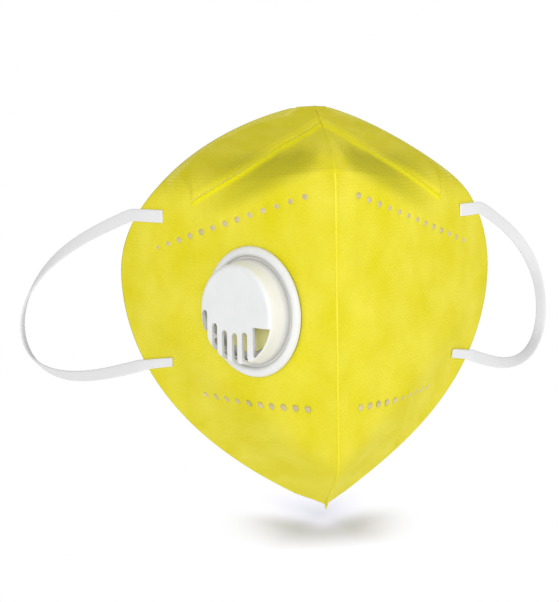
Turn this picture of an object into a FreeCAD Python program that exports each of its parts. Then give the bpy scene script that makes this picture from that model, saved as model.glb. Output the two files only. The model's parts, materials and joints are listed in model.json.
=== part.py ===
"""Fold-flat disposable dust mask with an exhalation valve, millimetres, +Z up.

The wearer's face lies towards +Y and the front weld seam points to -Y. The origin is the
centre of the face opening: on the mirror plane, level with the cheeks, behind the seam.
Each half is one stack of plies cut to the same outline, so every ply is a sheet between two
surfaces at a given depth under the outside of the outer cover.
"""

import FreeCAD
import Part
import math
import os

from FreeCAD import Vector

# --- the half panel ---
HALF_WIDTH = 76.0            # front seam to the widest point of the cheek, seen from the front
NOSE_HEIGHT = 75.0           # top of the nose edge above the origin
CHIN_DROP = 75.0             # chin tip under the origin
WIDEST_Z = 9.8              # height of the widest point of the cheek
UPPER_POWER = 0.69           # fullness of the outline above the widest point: 0.5 would be an ellipse
LOWER_POWER = 0.62           # and below it
TIP_ANGLE = math.radians(11)  # how far the outline's curve is cut back at the nose and the chin
SEAM_ANGLE = math.radians(44.7)  # the panel against the mirror plane, at the seam
CHEEK_ANGLE = math.radians(36.1)   # and at the cheek
PANEL_ARC = 98.0             # seam to cheek along the panel
FACE_DEPTH = 99.0            # front seam to the face plane through the origin
# --- the creases that tip the nose and the chin back ---
NOSE_CREASE_Z = 55.7
NOSE_CREASE_FALL = -0.11     # drop of the crease line for each millimetre towards the cheek
NOSE_LEAN = 3.0              # setback for each millimetre of height at the seam
NOSE_FADE = 1.3              # the same at the cheek, as a share of that at the seam
CHIN_CREASE_Z = -54.8
CHIN_CREASE_FALL = 0.476
CHIN_LEAN = 1.9
CHIN_FADE = 0.3
CREASE_SOFTNESS = 2.6
# --- the plies, from the outside in ---
COVER_PLY = 0.5
CLIP_SPACE = 0.7             # room for the nose clip under the outer cover
COTTON_PLY = 0.8
FILTER_PLY = 0.35
LINING_PLY = 0.35
PLY_GAP = 0.05
INNER_INSET = 1.0            # the inner plies end this far inside the cover's edge
SEAM_OVERRUN = 5.0           # a ply is made this far past the mirror plane, then mitred
# --- the nose clip and foam ---
CLIP_LENGTH = 90.0
CLIP_WIDTH = 5.0
CLIP_THICKNESS = 0.6
CLIP_INSET = 5.0             # from the top edge, along the panel
FOAM_LENGTH = 104.0
FOAM_WIDTH = 10.0
FOAM_THICKNESS = 3.0
FOAM_INSET = 3.0
# --- the ear loops ---
BAND_WIDTH = 5.0
BAND_THICKNESS = 1.2
TAB_LENGTH = 13.0
TAB_LIFT = 0.05
LOOP_REACH = 108.0           # how far the loop stands out past its hinge line
LOOP_DROOP = 37.0            # how far it sags at its far end
LOOP_SPLAY = math.radians(31.5)   # the loop's plane against straight back
LOOP_ROUNDNESS = 0.68        # 1 would make the loop an ellipse, less makes it squarer
UPPER_TAB_Z = 34.0
LOWER_TAB_Z = -28.0
LOOP_START = 3.2             # hinge line past the edge of the panel
BEND_GAP = 0.4               # between the welded tab and the free band
LOOP_STATIONS = 29
# --- the exhalation valve, on its own axis ---
VALVE_ARC = 39.4             # seam to valve centre along the panel
VALVE_Z = 0.8
FLANGE_R = 24.0
FLANGE_PLATE = 1.1
FLANGE_LIP = 0.9             # the rounded rim stands this much above the plate
FLANGE_LIP_WIDTH = 3.8
FLANGE_FOOT = 0.5            # bevel under the rim
FLANGE_STANDOFF = 0.05       # lowest point of the flange over the tangent plane
NECK_R = 17.2
NECK_WALL = 1.6
NECK_CLEARANCE = 0.3
RING_R = 22.5
RING_BEVEL = 0.6
RING_THICKNESS = 1.4
RING_FIT = 0.05              # radial room between the backing ring and the neck
RING_LIFT = 0.06             # room left where the ring presses the curved lining
NECK_PROUD = 0.6             # the neck stands this much through the ring
SPOKE_WIDTH = 1.8
SPOKE_DEPTH = 1.6
SPOKE_COUNT = 3
SEAT_LIP_R = 13.2
SEAT_LIP_WALL = 0.9
SEAT_LIP_HEIGHT = 1.2
FLAP_R = 14.4
FLAP_THICKNESS = 0.5
FLAP_LIFT = 0.05
FLAP_BEND_V = 10.6           # height of the flap's bending line over the valve axis
FLAP_GAP = 0.12
ANCHOR_HEIGHT = 3.0
ANCHOR_WIDTH = 13.0
PAD_DEPTH = 1.2
PIN_R = 0.8
PIN_SPACING = 7.0
PIN_ROOM = 0.05
COVER_BASE_R = 19.4
COVER_TOP_R = 18.2
COVER_HEIGHT = 8.8
COVER_WALL = 1.2
COVER_EDGE_R = 1.9
COVER_SEAT_GAP = 0.05
SLOT_PITCH = 5.1
SLOT_WIDTH = 2.7
SLOTS = (-3, -2, -1, 0, 1)   # which places of the pitch have a slot
SLOT_TOP_V = -6.8            # top of the middle slot under the middle of the cover
SLOT_TOP_R = 19.6            # the tops lie on a circle of this radius
SLOT_FLOOR = 1.6             # solid skirt left under the slots
WINDOW_LEFT = 9.3            # the wide corner window beside the slots
WINDOW_TOP_V = -4.0
WINDOW_RIM = 0.5             # cover wall left outside the window
HOLE_REACH = 20.0            # half length of the tool that opens the plies for the neck

UPPER_REACH = (NOSE_HEIGHT - WIDEST_Z) / math.cos(TIP_ANGLE)
LOWER_REACH = (CHIN_DROP + WIDEST_Z) / math.cos(TIP_ANGLE)
COTTON_DEPTH = COVER_PLY + CLIP_SPACE
FILTER_DEPTH = COTTON_DEPTH + COTTON_PLY + PLY_GAP
LINING_DEPTH = FILTER_DEPTH + FILTER_PLY + PLY_GAP
STACK_DEPTH = LINING_DEPTH + LINING_PLY
TURN_RATE = (CHEEK_ANGLE - SEAM_ANGLE) / PANEL_ARC
BIG = 400.0
PARTS = "parts"


# ---------------------------------------------------------------- the panel's surface
def soft_ramp(value):
    """Zero below 0 and value above it, rounded over the crease softness."""
    scaled = value / CREASE_SOFTNESS
    if scaled > 30:
        return value
    return CREASE_SOFTNESS * math.log1p(math.exp(scaled))


def panel_point(arc, z):
    """Point of the outer surface at a distance from the seam and a height, right half."""
    angle = SEAM_ANGLE + TURN_RATE * arc
    x = (math.cos(SEAM_ANGLE) - math.cos(angle)) / TURN_RATE
    y = (math.sin(angle) - math.sin(SEAM_ANGLE)) / TURN_RATE
    out = min(max(arc / PANEL_ARC, 0.0), 1.2)
    nose = NOSE_LEAN * soft_ramp(z - NOSE_CREASE_Z - NOSE_CREASE_FALL * arc)
    chin = CHIN_LEAN * soft_ramp(CHIN_CREASE_Z + CHIN_CREASE_FALL * arc - z)
    y += nose * (1 - (1 - NOSE_FADE) * out) + chin * (1 - (1 - CHIN_FADE) * out)
    return Vector(x, y - FACE_DEPTH, z)


def panel_normal(arc, z):
    """Outward unit normal of the panel."""
    step = 0.05
    along = panel_point(arc + step, z) - panel_point(arc - step, z)
    up = panel_point(arc, z + step) - panel_point(arc, z - step)
    return along.cross(up).normalize()


def under_panel(arc, z, depth):
    """Point at a depth under the outer surface; a negative depth lies outside it."""
    return panel_point(arc, z) - panel_normal(arc, z) * depth


def arc_at(x):
    """Distance from the seam along the panel at a given distance from the mirror plane."""
    return (math.acos(math.cos(SEAM_ANGLE) - TURN_RATE * x) - SEAM_ANGLE) / TURN_RATE


def edge_arc(z):
    """Distance from the seam to the outer edge at a height."""
    reach, power = (UPPER_REACH, UPPER_POWER) if z > WIDEST_Z else (LOWER_REACH, LOWER_POWER)
    share = min(1.0, abs(z - WIDEST_Z) / reach)
    return arc_at(HALF_WIDTH * (1 - share ** 2) ** power)


# ---------------------------------------------------------------- solids from surfaces
def skin(depth, inset, columns=10, rows=31):
    """Spline surface of a half panel at a depth, from past the seam to the edge."""
    grid = []
    for row in range(rows):
        turn = TIP_ANGLE + (math.pi - 2 * TIP_ANGLE) * row / (rows - 1)
        rise = -math.cos(turn)
        z = WIDEST_Z + rise * (UPPER_REACH if rise > 0 else LOWER_REACH)
        last = edge_arc(z) - inset
        line = []
        for column in range(columns):
            arc = -SEAM_OVERRUN + (last + SEAM_OVERRUN) * column / (columns - 1)
            line.append(under_panel(arc, z, depth))
        grid.append(line)
    return spline_surface(grid)


def spline_surface(grid):
    """Spline surface through a grid of points."""
    surface = Part.BSplineSurface()
    surface.interpolate(grid)
    return surface


def closed_solid(faces):
    """Solid enclosed by faces that meet edge to edge."""
    shell = Part.Shell(faces)
    shell.sewShape()
    solid = Part.Solid(Part.Shell(shell.Faces))
    if solid.Volume < 0:
        solid.reverse()
    return solid


def between(outer, inner):
    """Solid between two spline surfaces with matching edges."""
    faces = [outer.toShape(), inner.toShape()]
    first_u, last_u, first_v, last_v = outer.bounds()
    a_u, b_u, a_v, b_v = inner.bounds()
    for one, other in ((first_u, a_u), (last_u, b_u)):
        faces.append(Part.makeRuledSurface(outer.uIso(one).toShape(), inner.uIso(other).toShape()))
    for one, other in ((first_v, a_v), (last_v, b_v)):
        faces.append(Part.makeRuledSurface(outer.vIso(one).toShape(), inner.vIso(other).toShape()))
    return closed_solid(faces)


def right_side():
    """Half space on the wearer's left of the mirror plane."""
    return Part.makeBox(BIG, 2 * BIG, 2 * BIG, Vector(0, -BIG, -BIG))


def mirrored(shape):
    """The same piece on the other half."""
    return shape.mirror(Vector(0, 0, 0), Vector(1, 0, 0))


def ply(depth, thickness, inset):
    """One ply of the right half, mitred at the seam."""
    sheet = between(skin(depth, inset), skin(depth + thickness, inset))
    return sheet.common(right_side())


def panel_strip(lines, depth, thickness, rows=4):
    """Strip that follows the panel between pairs of (arc, z) ends, at a depth under it."""
    surfaces = []
    for level in (depth, depth + thickness):
        grid = []
        for row in range(rows):
            share = row / (rows - 1)
            at = [(a[0] + (b[0] - a[0]) * share, a[1] + (b[1] - a[1]) * share) for a, b in lines]
            grid.append([under_panel(arc, z, level) for arc, z in at])
        surfaces.append(spline_surface(grid))
    return between(*surfaces)


def from_corners(sections):
    """Smooth bar through four-cornered sections."""
    wires = [Part.makePolygon(corners + [corners[0]]) for corners in sections]
    return Part.makeLoft(wires, True, False)


# ---------------------------------------------------------------- nose clip and foam
def down_from_top(arc, distance):
    """Height of the point a distance below the top edge, along the panel."""
    step = 0.25
    z = top_edge_z(arc)
    gone = 0.0
    here = panel_point(arc, z)
    while gone < distance:
        z -= step
        lower = panel_point(arc, z)
        gone += (lower - here).Length
        here = lower
    return z


def top_edge_z(arc):
    """Height of the top edge at a distance from the seam."""
    x = (math.cos(SEAM_ANGLE) - math.cos(SEAM_ANGLE + TURN_RATE * arc)) / TURN_RATE
    share = max(0.0, abs(x) / HALF_WIDTH) ** (1 / UPPER_POWER)
    return min(NOSE_HEIGHT, WIDEST_Z + UPPER_REACH * math.sqrt(1 - share))


def nose_strip(length, width, inset, depth, thickness, stations=12):
    """Strip that follows the top edge over both halves."""
    span = half_span(length, inset)
    lines = []
    for i in range(stations):
        arc = -SEAM_OVERRUN + (span + SEAM_OVERRUN) * i / (stations - 1)
        high = down_from_top(max(arc, 0.0), inset)
        low = down_from_top(max(arc, 0.0), inset + width)
        lines.append(((arc, low), (arc, high)))
    half = panel_strip(lines, depth, thickness).common(right_side())
    return half.fuse(mirrored(half)).removeSplitter()


def half_span(length, inset):
    """Distance from the seam at which half of a strip's length is used up."""
    step = 1.0
    arc = 0.0
    gone = 0.0
    here = panel_point(arc, down_from_top(arc, inset))
    while gone < length / 2:
        arc += step
        there = panel_point(arc, down_from_top(arc, inset))
        gone += (there - here).Length
        here = there
    return arc


# ---------------------------------------------------------------- ear loops
def loop_anchor(z):
    """Point of the hinge line beside the edge at a height, and the panel's directions there."""
    arc = edge_arc(z) + LOOP_START
    middle = TAB_LIFT + BAND_THICKNESS / 2
    return under_panel(arc, z, -middle)


def loop_frame():
    """Upper and lower ends of the right loop's hinge line, with its outward and side directions."""
    upper = loop_anchor(UPPER_TAB_Z)
    lower = loop_anchor(LOWER_TAB_Z)
    line = (upper - lower).normalize()
    along = Vector(math.sin(LOOP_SPLAY), math.cos(LOOP_SPLAY), 0)
    outward = (along - line * along.dot(line)).normalize()
    return upper, lower, line, outward, line.cross(outward)


def loop_station(share):
    """Centre, width direction and thickness direction of the band at a share of its way round."""
    upper, lower, line, outward, side = loop_frame()
    half = (upper - lower).Length / 2
    middle = (upper + lower) * 0.5
    turn = math.pi * share
    swell = max(0.0, math.sin(turn)) ** LOOP_ROUNDNESS
    rise = half * math.cos(turn) - LOOP_DROOP * swell
    return middle + outward * (LOOP_REACH * swell) + line * rise


def loop_twist(share):
    """Quarter turn that brings the band's width square to the loop at its far end."""
    ramp = min(1.0, max(0.0, math.sin(math.pi * share)) * 1.12)
    return math.pi / 2 * ramp ** 1.5


def band_directions(share):
    """Width and thickness directions of the free band."""
    upper, lower, line, outward, side = loop_frame()
    step = 0.004
    if share in (0.0, 1.0):
        tangent = outward * (1 - 2 * share)
    else:
        ahead = loop_station(min(1.0, share + step)) - loop_station(max(0.0, share - step))
        tangent = ahead.normalize()
    flat = side.cross(tangent).normalize()
    angle = loop_twist(share)
    width = flat * math.cos(angle) + side * math.sin(angle)
    return width, tangent.cross(width)


def free_band():
    """The stretchy band between its two bends, right side."""
    sections = []
    signs = ((1, 1), (-1, 1), (-1, -1), (1, -1))
    for i in range(LOOP_STATIONS):
        share = (1 - math.cos(math.pi * i / (LOOP_STATIONS - 1))) / 2
        centre = loop_station(share)
        width, thick = band_directions(share)
        wide = width * (BAND_WIDTH / 2)
        deep = thick * (BAND_THICKNESS / 2)
        sections.append([centre + wide * a + deep * b for a, b in signs])
    return from_corners(sections)


def loop_tab(z):
    """Welded end of the band, flat on the cover, right side; its inner end is square to the hinge."""
    slope = (edge_arc(UPPER_TAB_Z) - edge_arc(LOWER_TAB_Z)) / (UPPER_TAB_Z - LOWER_TAB_Z)
    stop = edge_arc(z) + LOOP_START - BAND_THICKNESS / 2 - BEND_GAP
    lines = []
    stations = 5
    for i in range(stations):
        here = stop - TAB_LENGTH + TAB_LENGTH * i / (stations - 1)
        up = panel_point(here, z + 1) - panel_point(here, z - 1)
        rise = BAND_WIDTH / up.Length
        lines.append(((here - slope * rise, z - rise), (here + slope * rise, z + rise)))
    return panel_strip(lines, -(TAB_LIFT + BAND_THICKNESS), BAND_THICKNESS)


# ---------------------------------------------------------------- exhalation valve
def valve_placement():
    """Moves the valve from its own axis, +Z outwards and +Y up, to the wearer's right half."""
    centre = panel_point(VALVE_ARC, VALVE_Z)
    out = panel_normal(VALVE_ARC, VALVE_Z)
    centre.x = -centre.x
    out.x = -out.x
    up = Vector(0, 0, 1)
    up = (up - out * up.dot(out)).normalize()
    across = up.cross(out)
    matrix = FreeCAD.Matrix(
        across.x, up.x, out.x, centre.x,
        across.y, up.y, out.y, centre.y,
        across.z, up.z, out.z, centre.z,
        0, 0, 0, 1,
    )
    return FreeCAD.Placement(matrix)


def placed(shape):
    """The shape moved onto the mask."""
    moved = shape.copy()
    moved.Placement = valve_placement().multiply(moved.Placement)
    return moved


def turned(profile):
    """Solid turned about the valve's axis from (radius, height) corners."""
    points = [Vector(r, 0, h) for r, h in profile]
    wire = Part.makePolygon(points + [points[0]])
    return Part.Face(wire).revolve(Vector(0, 0, 0), Vector(0, 0, 1), 360)


def disc(radius, height, bottom):
    """Cylinder on the valve's axis."""
    return Part.makeCylinder(radius, height, Vector(0, 0, bottom))


PLATE_TOP = FLANGE_STANDOFF + FLANGE_PLATE
RING_SEAT = STACK_DEPTH + RING_R ** 2 * abs(TURN_RATE) / 2 + RING_LIFT
NECK_BOTTOM = -(RING_SEAT + RING_THICKNESS + NECK_PROUD)
SEAT_TOP = PLATE_TOP + SEAT_LIP_HEIGHT
ANCHOR_TOP = SEAT_TOP + FLAP_LIFT + FLAP_THICKNESS


def valve_seat():
    """Moulded seat: flange with a raised rim, neck through the plies, spokes and sealing lip."""
    inside = NECK_R - NECK_WALL
    edge = FLANGE_R - FLANGE_LIP_WIDTH
    rim = [
        Vector(FLANGE_R, 0, FLANGE_STANDOFF + FLANGE_FOOT),
        Vector(FLANGE_R - FLANGE_LIP_WIDTH * 0.45, 0, PLATE_TOP + FLANGE_LIP),
        Vector(edge, 0, PLATE_TOP),
    ]
    corners = [
        (edge, PLATE_TOP), (inside, PLATE_TOP), (inside, NECK_BOTTOM), (NECK_R, NECK_BOTTOM),
        (NECK_R, FLANGE_STANDOFF), (FLANGE_R - FLANGE_FOOT, FLANGE_STANDOFF),
        (FLANGE_R, FLANGE_STANDOFF + FLANGE_FOOT),
    ]
    outline = Part.makePolygon([Vector(r, 0, h) for r, h in corners])
    section = Part.Wire(outline.Edges + [Part.Arc(*rim).toShape()])
    body = Part.Face(section).revolve(Vector(0, 0, 0), Vector(0, 0, 1), 360)
    lip = turned([
        (SEAT_LIP_R - SEAT_LIP_WALL, PLATE_TOP - SPOKE_DEPTH), (SEAT_LIP_R, PLATE_TOP - SPOKE_DEPTH),
        (SEAT_LIP_R, SEAT_TOP), (SEAT_LIP_R - SEAT_LIP_WALL, SEAT_TOP),
    ])
    shelf = turned([
        (SEAT_LIP_R - 0.1, PLATE_TOP - SPOKE_DEPTH), (inside + 0.1, PLATE_TOP - SPOKE_DEPTH),
        (inside + 0.1, PLATE_TOP), (SEAT_LIP_R - 0.1, PLATE_TOP),
    ])
    body = body.fuse([lip, shelf])
    for i in range(SPOKE_COUNT):
        spoke = Part.makeBox(
            2 * SEAT_LIP_R - SEAT_LIP_WALL, SPOKE_WIDTH, SPOKE_DEPTH,
            Vector(-SEAT_LIP_R + SEAT_LIP_WALL / 2, -SPOKE_WIDTH / 2, PLATE_TOP - SPOKE_DEPTH),
        )
        spoke.rotate(Vector(0, 0, 0), Vector(0, 0, 1), 30 + 180 * i / SPOKE_COUNT)
        body = body.fuse(spoke)
    body = body.fuse(anchor_pad())
    return body.removeSplitter()


def anchor_pad():
    """Flat pad with two pins that holds the top of the flap."""
    low = FLAP_BEND_V + FLAP_GAP
    pad = Part.makeBox(ANCHOR_WIDTH, ANCHOR_HEIGHT, SEAT_TOP - PLATE_TOP,
                       Vector(-ANCHOR_WIDTH / 2, low, PLATE_TOP))
    for side in (-1, 1):
        foot = Vector(side * PIN_SPACING / 2, low + ANCHOR_HEIGHT / 2, PLATE_TOP)
        pad = pad.fuse(Part.makeCylinder(PIN_R, ANCHOR_TOP - PLATE_TOP + PAD_DEPTH, foot))
    return pad


def flap_outline():
    """The whole silicone disc, with the tab at its top."""
    whole = disc(FLAP_R, FLAP_THICKNESS, SEAT_TOP + FLAP_LIFT)
    keep = Part.makeBox(2 * FLAP_R, FLAP_R + FLAP_BEND_V, 10, Vector(-FLAP_R, -FLAP_R, SEAT_TOP - 4))
    return whole.common(keep)


def flap_anchor():
    """Clamped top strip of the silicone disc, with holes for the two pins."""
    low = FLAP_BEND_V + FLAP_GAP
    strip = Part.makeBox(ANCHOR_WIDTH, ANCHOR_HEIGHT, FLAP_THICKNESS,
                         Vector(-ANCHOR_WIDTH / 2, low, SEAT_TOP + FLAP_LIFT))
    for side in (-1, 1):
        hole = Part.makeCylinder(PIN_R + PIN_ROOM, 4, Vector(side * PIN_SPACING / 2, low + ANCHOR_HEIGHT / 2, SEAT_TOP - 1))
        strip = strip.cut(hole)
    return strip


def cover_profile(inset):
    """Half section of the cover's outside, or of its inside at an inset."""
    base = COVER_BASE_R - inset
    top = COVER_TOP_R - inset
    height = PLATE_TOP + COVER_SEAT_GAP + COVER_HEIGHT - inset
    bottom = PLATE_TOP + COVER_SEAT_GAP
    return base, top, height, bottom


def dome(inset, bottom_drop):
    """Solid cup of the cover's outside or inside, with a rounded front edge."""
    base, top, height, bottom = cover_profile(inset)
    edge = COVER_EDGE_R - inset / 2
    points = [
        (0, bottom - bottom_drop), (base, bottom - bottom_drop), (top, height - edge),
        (top - edge * 0.293, height - edge * 0.293), (top - edge, height), (0, height),
    ]
    line = [Vector(r, 0, h) for r, h in points]
    arc = Part.Arc(line[2], line[3], line[4]).toShape()
    edges = [Part.makeLine(line[0], line[1]), Part.makeLine(line[1], line[2]), arc,
             Part.makeLine(line[4], line[5]), Part.makeLine(line[5], line[0])]
    return Part.Face(Part.Wire(edges)).revolve(Vector(0, 0, 0), Vector(0, 0, 1), 360)


def slot_top(across):
    """Height of a slot's top on the front of the cover."""
    return SLOT_TOP_V + SLOT_TOP_R - math.sqrt(SLOT_TOP_R ** 2 - across ** 2)


def cover_slot(across):
    """One outlet slot: open through the lower front and down the wall, round at its top."""
    floor = PLATE_TOP + SLOT_FLOOR
    reach = COVER_HEIGHT + COVER_WALL
    crown_v = slot_top(across) - SLOT_WIDTH / 2
    slot = Part.makeBox(SLOT_WIDTH, 2 * COVER_BASE_R, reach,
                        Vector(across - SLOT_WIDTH / 2, crown_v - 2 * COVER_BASE_R, floor))
    crown = Part.makeCylinder(SLOT_WIDTH / 2, reach, Vector(across, crown_v, floor))
    return slot.fuse(crown)


def cover_window():
    """Wide corner opening beside the slots, through the front only and curved along the wall."""
    front = PLATE_TOP + COVER_SEAT_GAP + COVER_HEIGHT - COVER_EDGE_R
    window = Part.makeBox(COVER_TOP_R, COVER_TOP_R, 2 * COVER_EDGE_R,
                          Vector(WINDOW_LEFT, WINDOW_TOP_V - COVER_TOP_R, front))
    inside = disc(COVER_TOP_R - WINDOW_RIM, 2 * COVER_EDGE_R, front)
    return window.common(inside)


def valve_cover():
    """Slotted snap-on cover over the flap."""
    shell = dome(0, 0).cut(dome(COVER_WALL, 1.0))
    for place in SLOTS:
        shell = shell.cut(cover_slot(place * SLOT_PITCH))
    return shell.cut(cover_window())


def backing_ring():
    """Ring inside the mask that clamps the plies against the flange."""
    top = -RING_SEAT
    inner = NECK_R + RING_FIT
    return turned([
        (inner, top - RING_THICKNESS), (RING_R - RING_BEVEL, top - RING_THICKNESS),
        (RING_R, top - RING_THICKNESS + RING_BEVEL), (RING_R, top), (inner, top),
    ])


def valve_hole():
    """Opening for the neck through every ply of the wearer's right half."""
    return placed(disc(NECK_R + NECK_CLEARANCE, 2 * HOLE_REACH, -HOLE_REACH))


# ---------------------------------------------------------------- the build
def export(name, shape):
    """Writes one node and says what it is."""
    shape.exportStep(os.path.join(PARTS, name + ".step"))
    print(name, "solids", len(shape.Solids), "valid", shape.isValid(), "volume", round(shape.Volume, 2))


def build():
    """Writes every node of the mask."""
    os.makedirs(PARTS, exist_ok=True)
    plies = (
        ("outer_cover", 0.0, COVER_PLY, 0.0),
        ("cotton_batting", COTTON_DEPTH, COTTON_PLY, INNER_INSET),
        ("meltblown_filter", FILTER_DEPTH, FILTER_PLY, INNER_INSET),
        ("inner_lining", LINING_DEPTH, LINING_PLY, INNER_INSET),
    )
    hole = valve_hole()
    for name, depth, thickness, inset in plies:
        right = ply(depth, thickness, inset)
        export(name + "_left", right)
        export(name + "_right", mirrored(right).cut(hole))
    export("nose_clip", nose_strip(CLIP_LENGTH, CLIP_WIDTH, CLIP_INSET, COVER_PLY + 0.05, CLIP_THICKNESS))
    export("nose_foam", nose_strip(FOAM_LENGTH, FOAM_WIDTH, FOAM_INSET, STACK_DEPTH + 0.05, FOAM_THICKNESS))
    band = free_band()
    for name, make in (("left", lambda shape: shape), ("right", mirrored)):
        export("ear_loop_" + name, make(band))
        export("ear_loop_upper_tab_" + name, make(loop_tab(UPPER_TAB_Z)))
        export("ear_loop_lower_tab_" + name, make(loop_tab(LOWER_TAB_Z)))
    export("valve_seat", placed(valve_seat()))
    export("valve_cover", placed(valve_cover()))
    export("valve_flap", placed(flap_outline()))
    export("valve_flap_anchor", placed(flap_anchor()))
    export("valve_backing_ring", placed(backing_ring()))


build()
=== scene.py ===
"""Looks of a fold-flat dust mask with an exhalation valve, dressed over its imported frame.

The cloth plies, seam, welds, foam and ear loops are modelled here on the same panel surface
as the frame; the moulded valve, the nose clip and the silicone flap stay as they are in the
frame and get their finishes. Metres, +Z up, the wearer towards +Y.
"""

import json
import logging
import math
from dataclasses import dataclass, field
from enum import Enum
from typing import Optional

import bmesh
import bpy
import numpy as np
from mathutils import Matrix, Vector
from mathutils.kdtree import KDTree

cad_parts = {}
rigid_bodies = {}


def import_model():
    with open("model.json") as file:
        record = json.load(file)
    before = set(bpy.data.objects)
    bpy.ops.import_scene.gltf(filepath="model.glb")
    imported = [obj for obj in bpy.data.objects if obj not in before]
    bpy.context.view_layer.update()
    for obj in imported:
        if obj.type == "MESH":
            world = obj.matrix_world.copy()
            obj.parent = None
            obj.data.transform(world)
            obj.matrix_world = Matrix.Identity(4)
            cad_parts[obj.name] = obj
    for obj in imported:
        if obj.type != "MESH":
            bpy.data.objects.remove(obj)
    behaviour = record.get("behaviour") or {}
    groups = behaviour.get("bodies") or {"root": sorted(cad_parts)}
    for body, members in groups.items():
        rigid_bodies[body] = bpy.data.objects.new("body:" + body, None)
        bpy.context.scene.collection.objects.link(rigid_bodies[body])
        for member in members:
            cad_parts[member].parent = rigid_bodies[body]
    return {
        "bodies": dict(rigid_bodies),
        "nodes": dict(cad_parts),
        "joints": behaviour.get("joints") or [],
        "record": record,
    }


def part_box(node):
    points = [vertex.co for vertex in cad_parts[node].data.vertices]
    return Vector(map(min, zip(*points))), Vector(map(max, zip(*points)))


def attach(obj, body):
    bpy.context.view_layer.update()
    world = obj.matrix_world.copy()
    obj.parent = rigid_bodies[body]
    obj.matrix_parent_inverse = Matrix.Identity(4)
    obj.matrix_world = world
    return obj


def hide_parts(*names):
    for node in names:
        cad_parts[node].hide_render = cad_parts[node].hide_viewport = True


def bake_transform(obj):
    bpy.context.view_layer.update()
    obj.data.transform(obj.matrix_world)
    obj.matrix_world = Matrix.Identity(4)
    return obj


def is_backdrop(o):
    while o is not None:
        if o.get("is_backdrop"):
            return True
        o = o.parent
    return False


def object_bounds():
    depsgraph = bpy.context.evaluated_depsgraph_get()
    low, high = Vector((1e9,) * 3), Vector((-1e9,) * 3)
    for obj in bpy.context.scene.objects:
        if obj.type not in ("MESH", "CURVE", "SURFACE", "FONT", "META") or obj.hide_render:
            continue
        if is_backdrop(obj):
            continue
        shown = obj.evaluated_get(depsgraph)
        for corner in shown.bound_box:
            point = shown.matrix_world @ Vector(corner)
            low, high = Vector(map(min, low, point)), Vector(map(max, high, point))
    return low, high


LOG = logging.getLogger("dust_mask")
MM = 0.001
MASK_BODY = "mask"
WHITE = (1.0, 1.0, 1.0, 1.0)

Array = np.ndarray
Colour = tuple[float, float, float]
Span = tuple[float, float]
Object = bpy.types.Object
Material = bpy.types.Material
Socket = bpy.types.NodeSocket
Node = bpy.types.Node


class Side(Enum):
    """The half of the mask, by the wearer's own left and right."""

    LEFT = 1.0
    RIGHT = -1.0

    @property
    def label(self) -> str:
        """The word that node names use."""
        return self.name.lower()


class PlyLayer(Enum):
    """The plies of a half panel, from the outside in."""

    COVER = "outer_cover"
    BATTING = "cotton_batting"
    FILTER = "meltblown_filter"
    LINING = "inner_lining"


# ------------------------------------------------------------------ numeric helpers
def soft_ramp(value: Array, softness: float) -> Array:
    """Zero below 0 and value above it, rounded over the softness."""
    return softness * np.logaddexp(0.0, value / softness)


def smoothstep(low: float, high: float, value: Array) -> Array:
    """Smooth change from 0 at low to 1 at high."""
    share = np.clip((value - low) / (high - low), 0.0, 1.0)
    return share * share * (3.0 - 2.0 * share)


def bump_at(value: Array, centre: float, width: float) -> Array:
    """A bell of height 1 at a centre."""
    return np.exp(-(((value - centre) / width) ** 2))


def signed_power(value: float, power: float) -> float:
    """A power of the size of a number, with the number's sign."""
    return np.sign(value) * abs(value) ** power


def unit(vectors: Array) -> Array:
    """The vectors at length 1."""
    return vectors / np.linalg.norm(vectors, axis=-1, keepdims=True)


def run_along(line: Array) -> Array:
    """Length along a line from its first point to each of its points."""
    return np.concatenate([[0.0], np.cumsum(np.linalg.norm(np.diff(line, axis=0), axis=1))])


@dataclass(frozen=True)
class CloudNoise:
    """Smooth value noise on a plane, the same on every run.

    Attributes:
        seed: start of the random table.
        size: rows and columns of the table.
    """

    seed: int = 7
    size: int = 64

    def __call__(self, u: Array, v: Array, scale: float) -> Array:
        """Noise from -1 to 1.

        Args:
            u: first coordinate.
            v: second coordinate.
            scale: size of one cell in the same unit.

        Returns:
            The noise at each point.
        """
        n = self.size
        table = np.random.default_rng(self.seed).uniform(-1.0, 1.0, (n, n))
        a, b = u / scale, v / scale
        i, j = np.floor(a).astype(int), np.floor(b).astype(int)
        s, t = smoothstep(0.0, 1.0, a - i), smoothstep(0.0, 1.0, b - j)
        low = table[i % n, j % n] * (1 - s) + table[(i + 1) % n, j % n] * s
        high = table[i % n, (j + 1) % n] * (1 - s) + table[(i + 1) % n, (j + 1) % n] * s
        return low * (1 - t) + high * t


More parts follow.
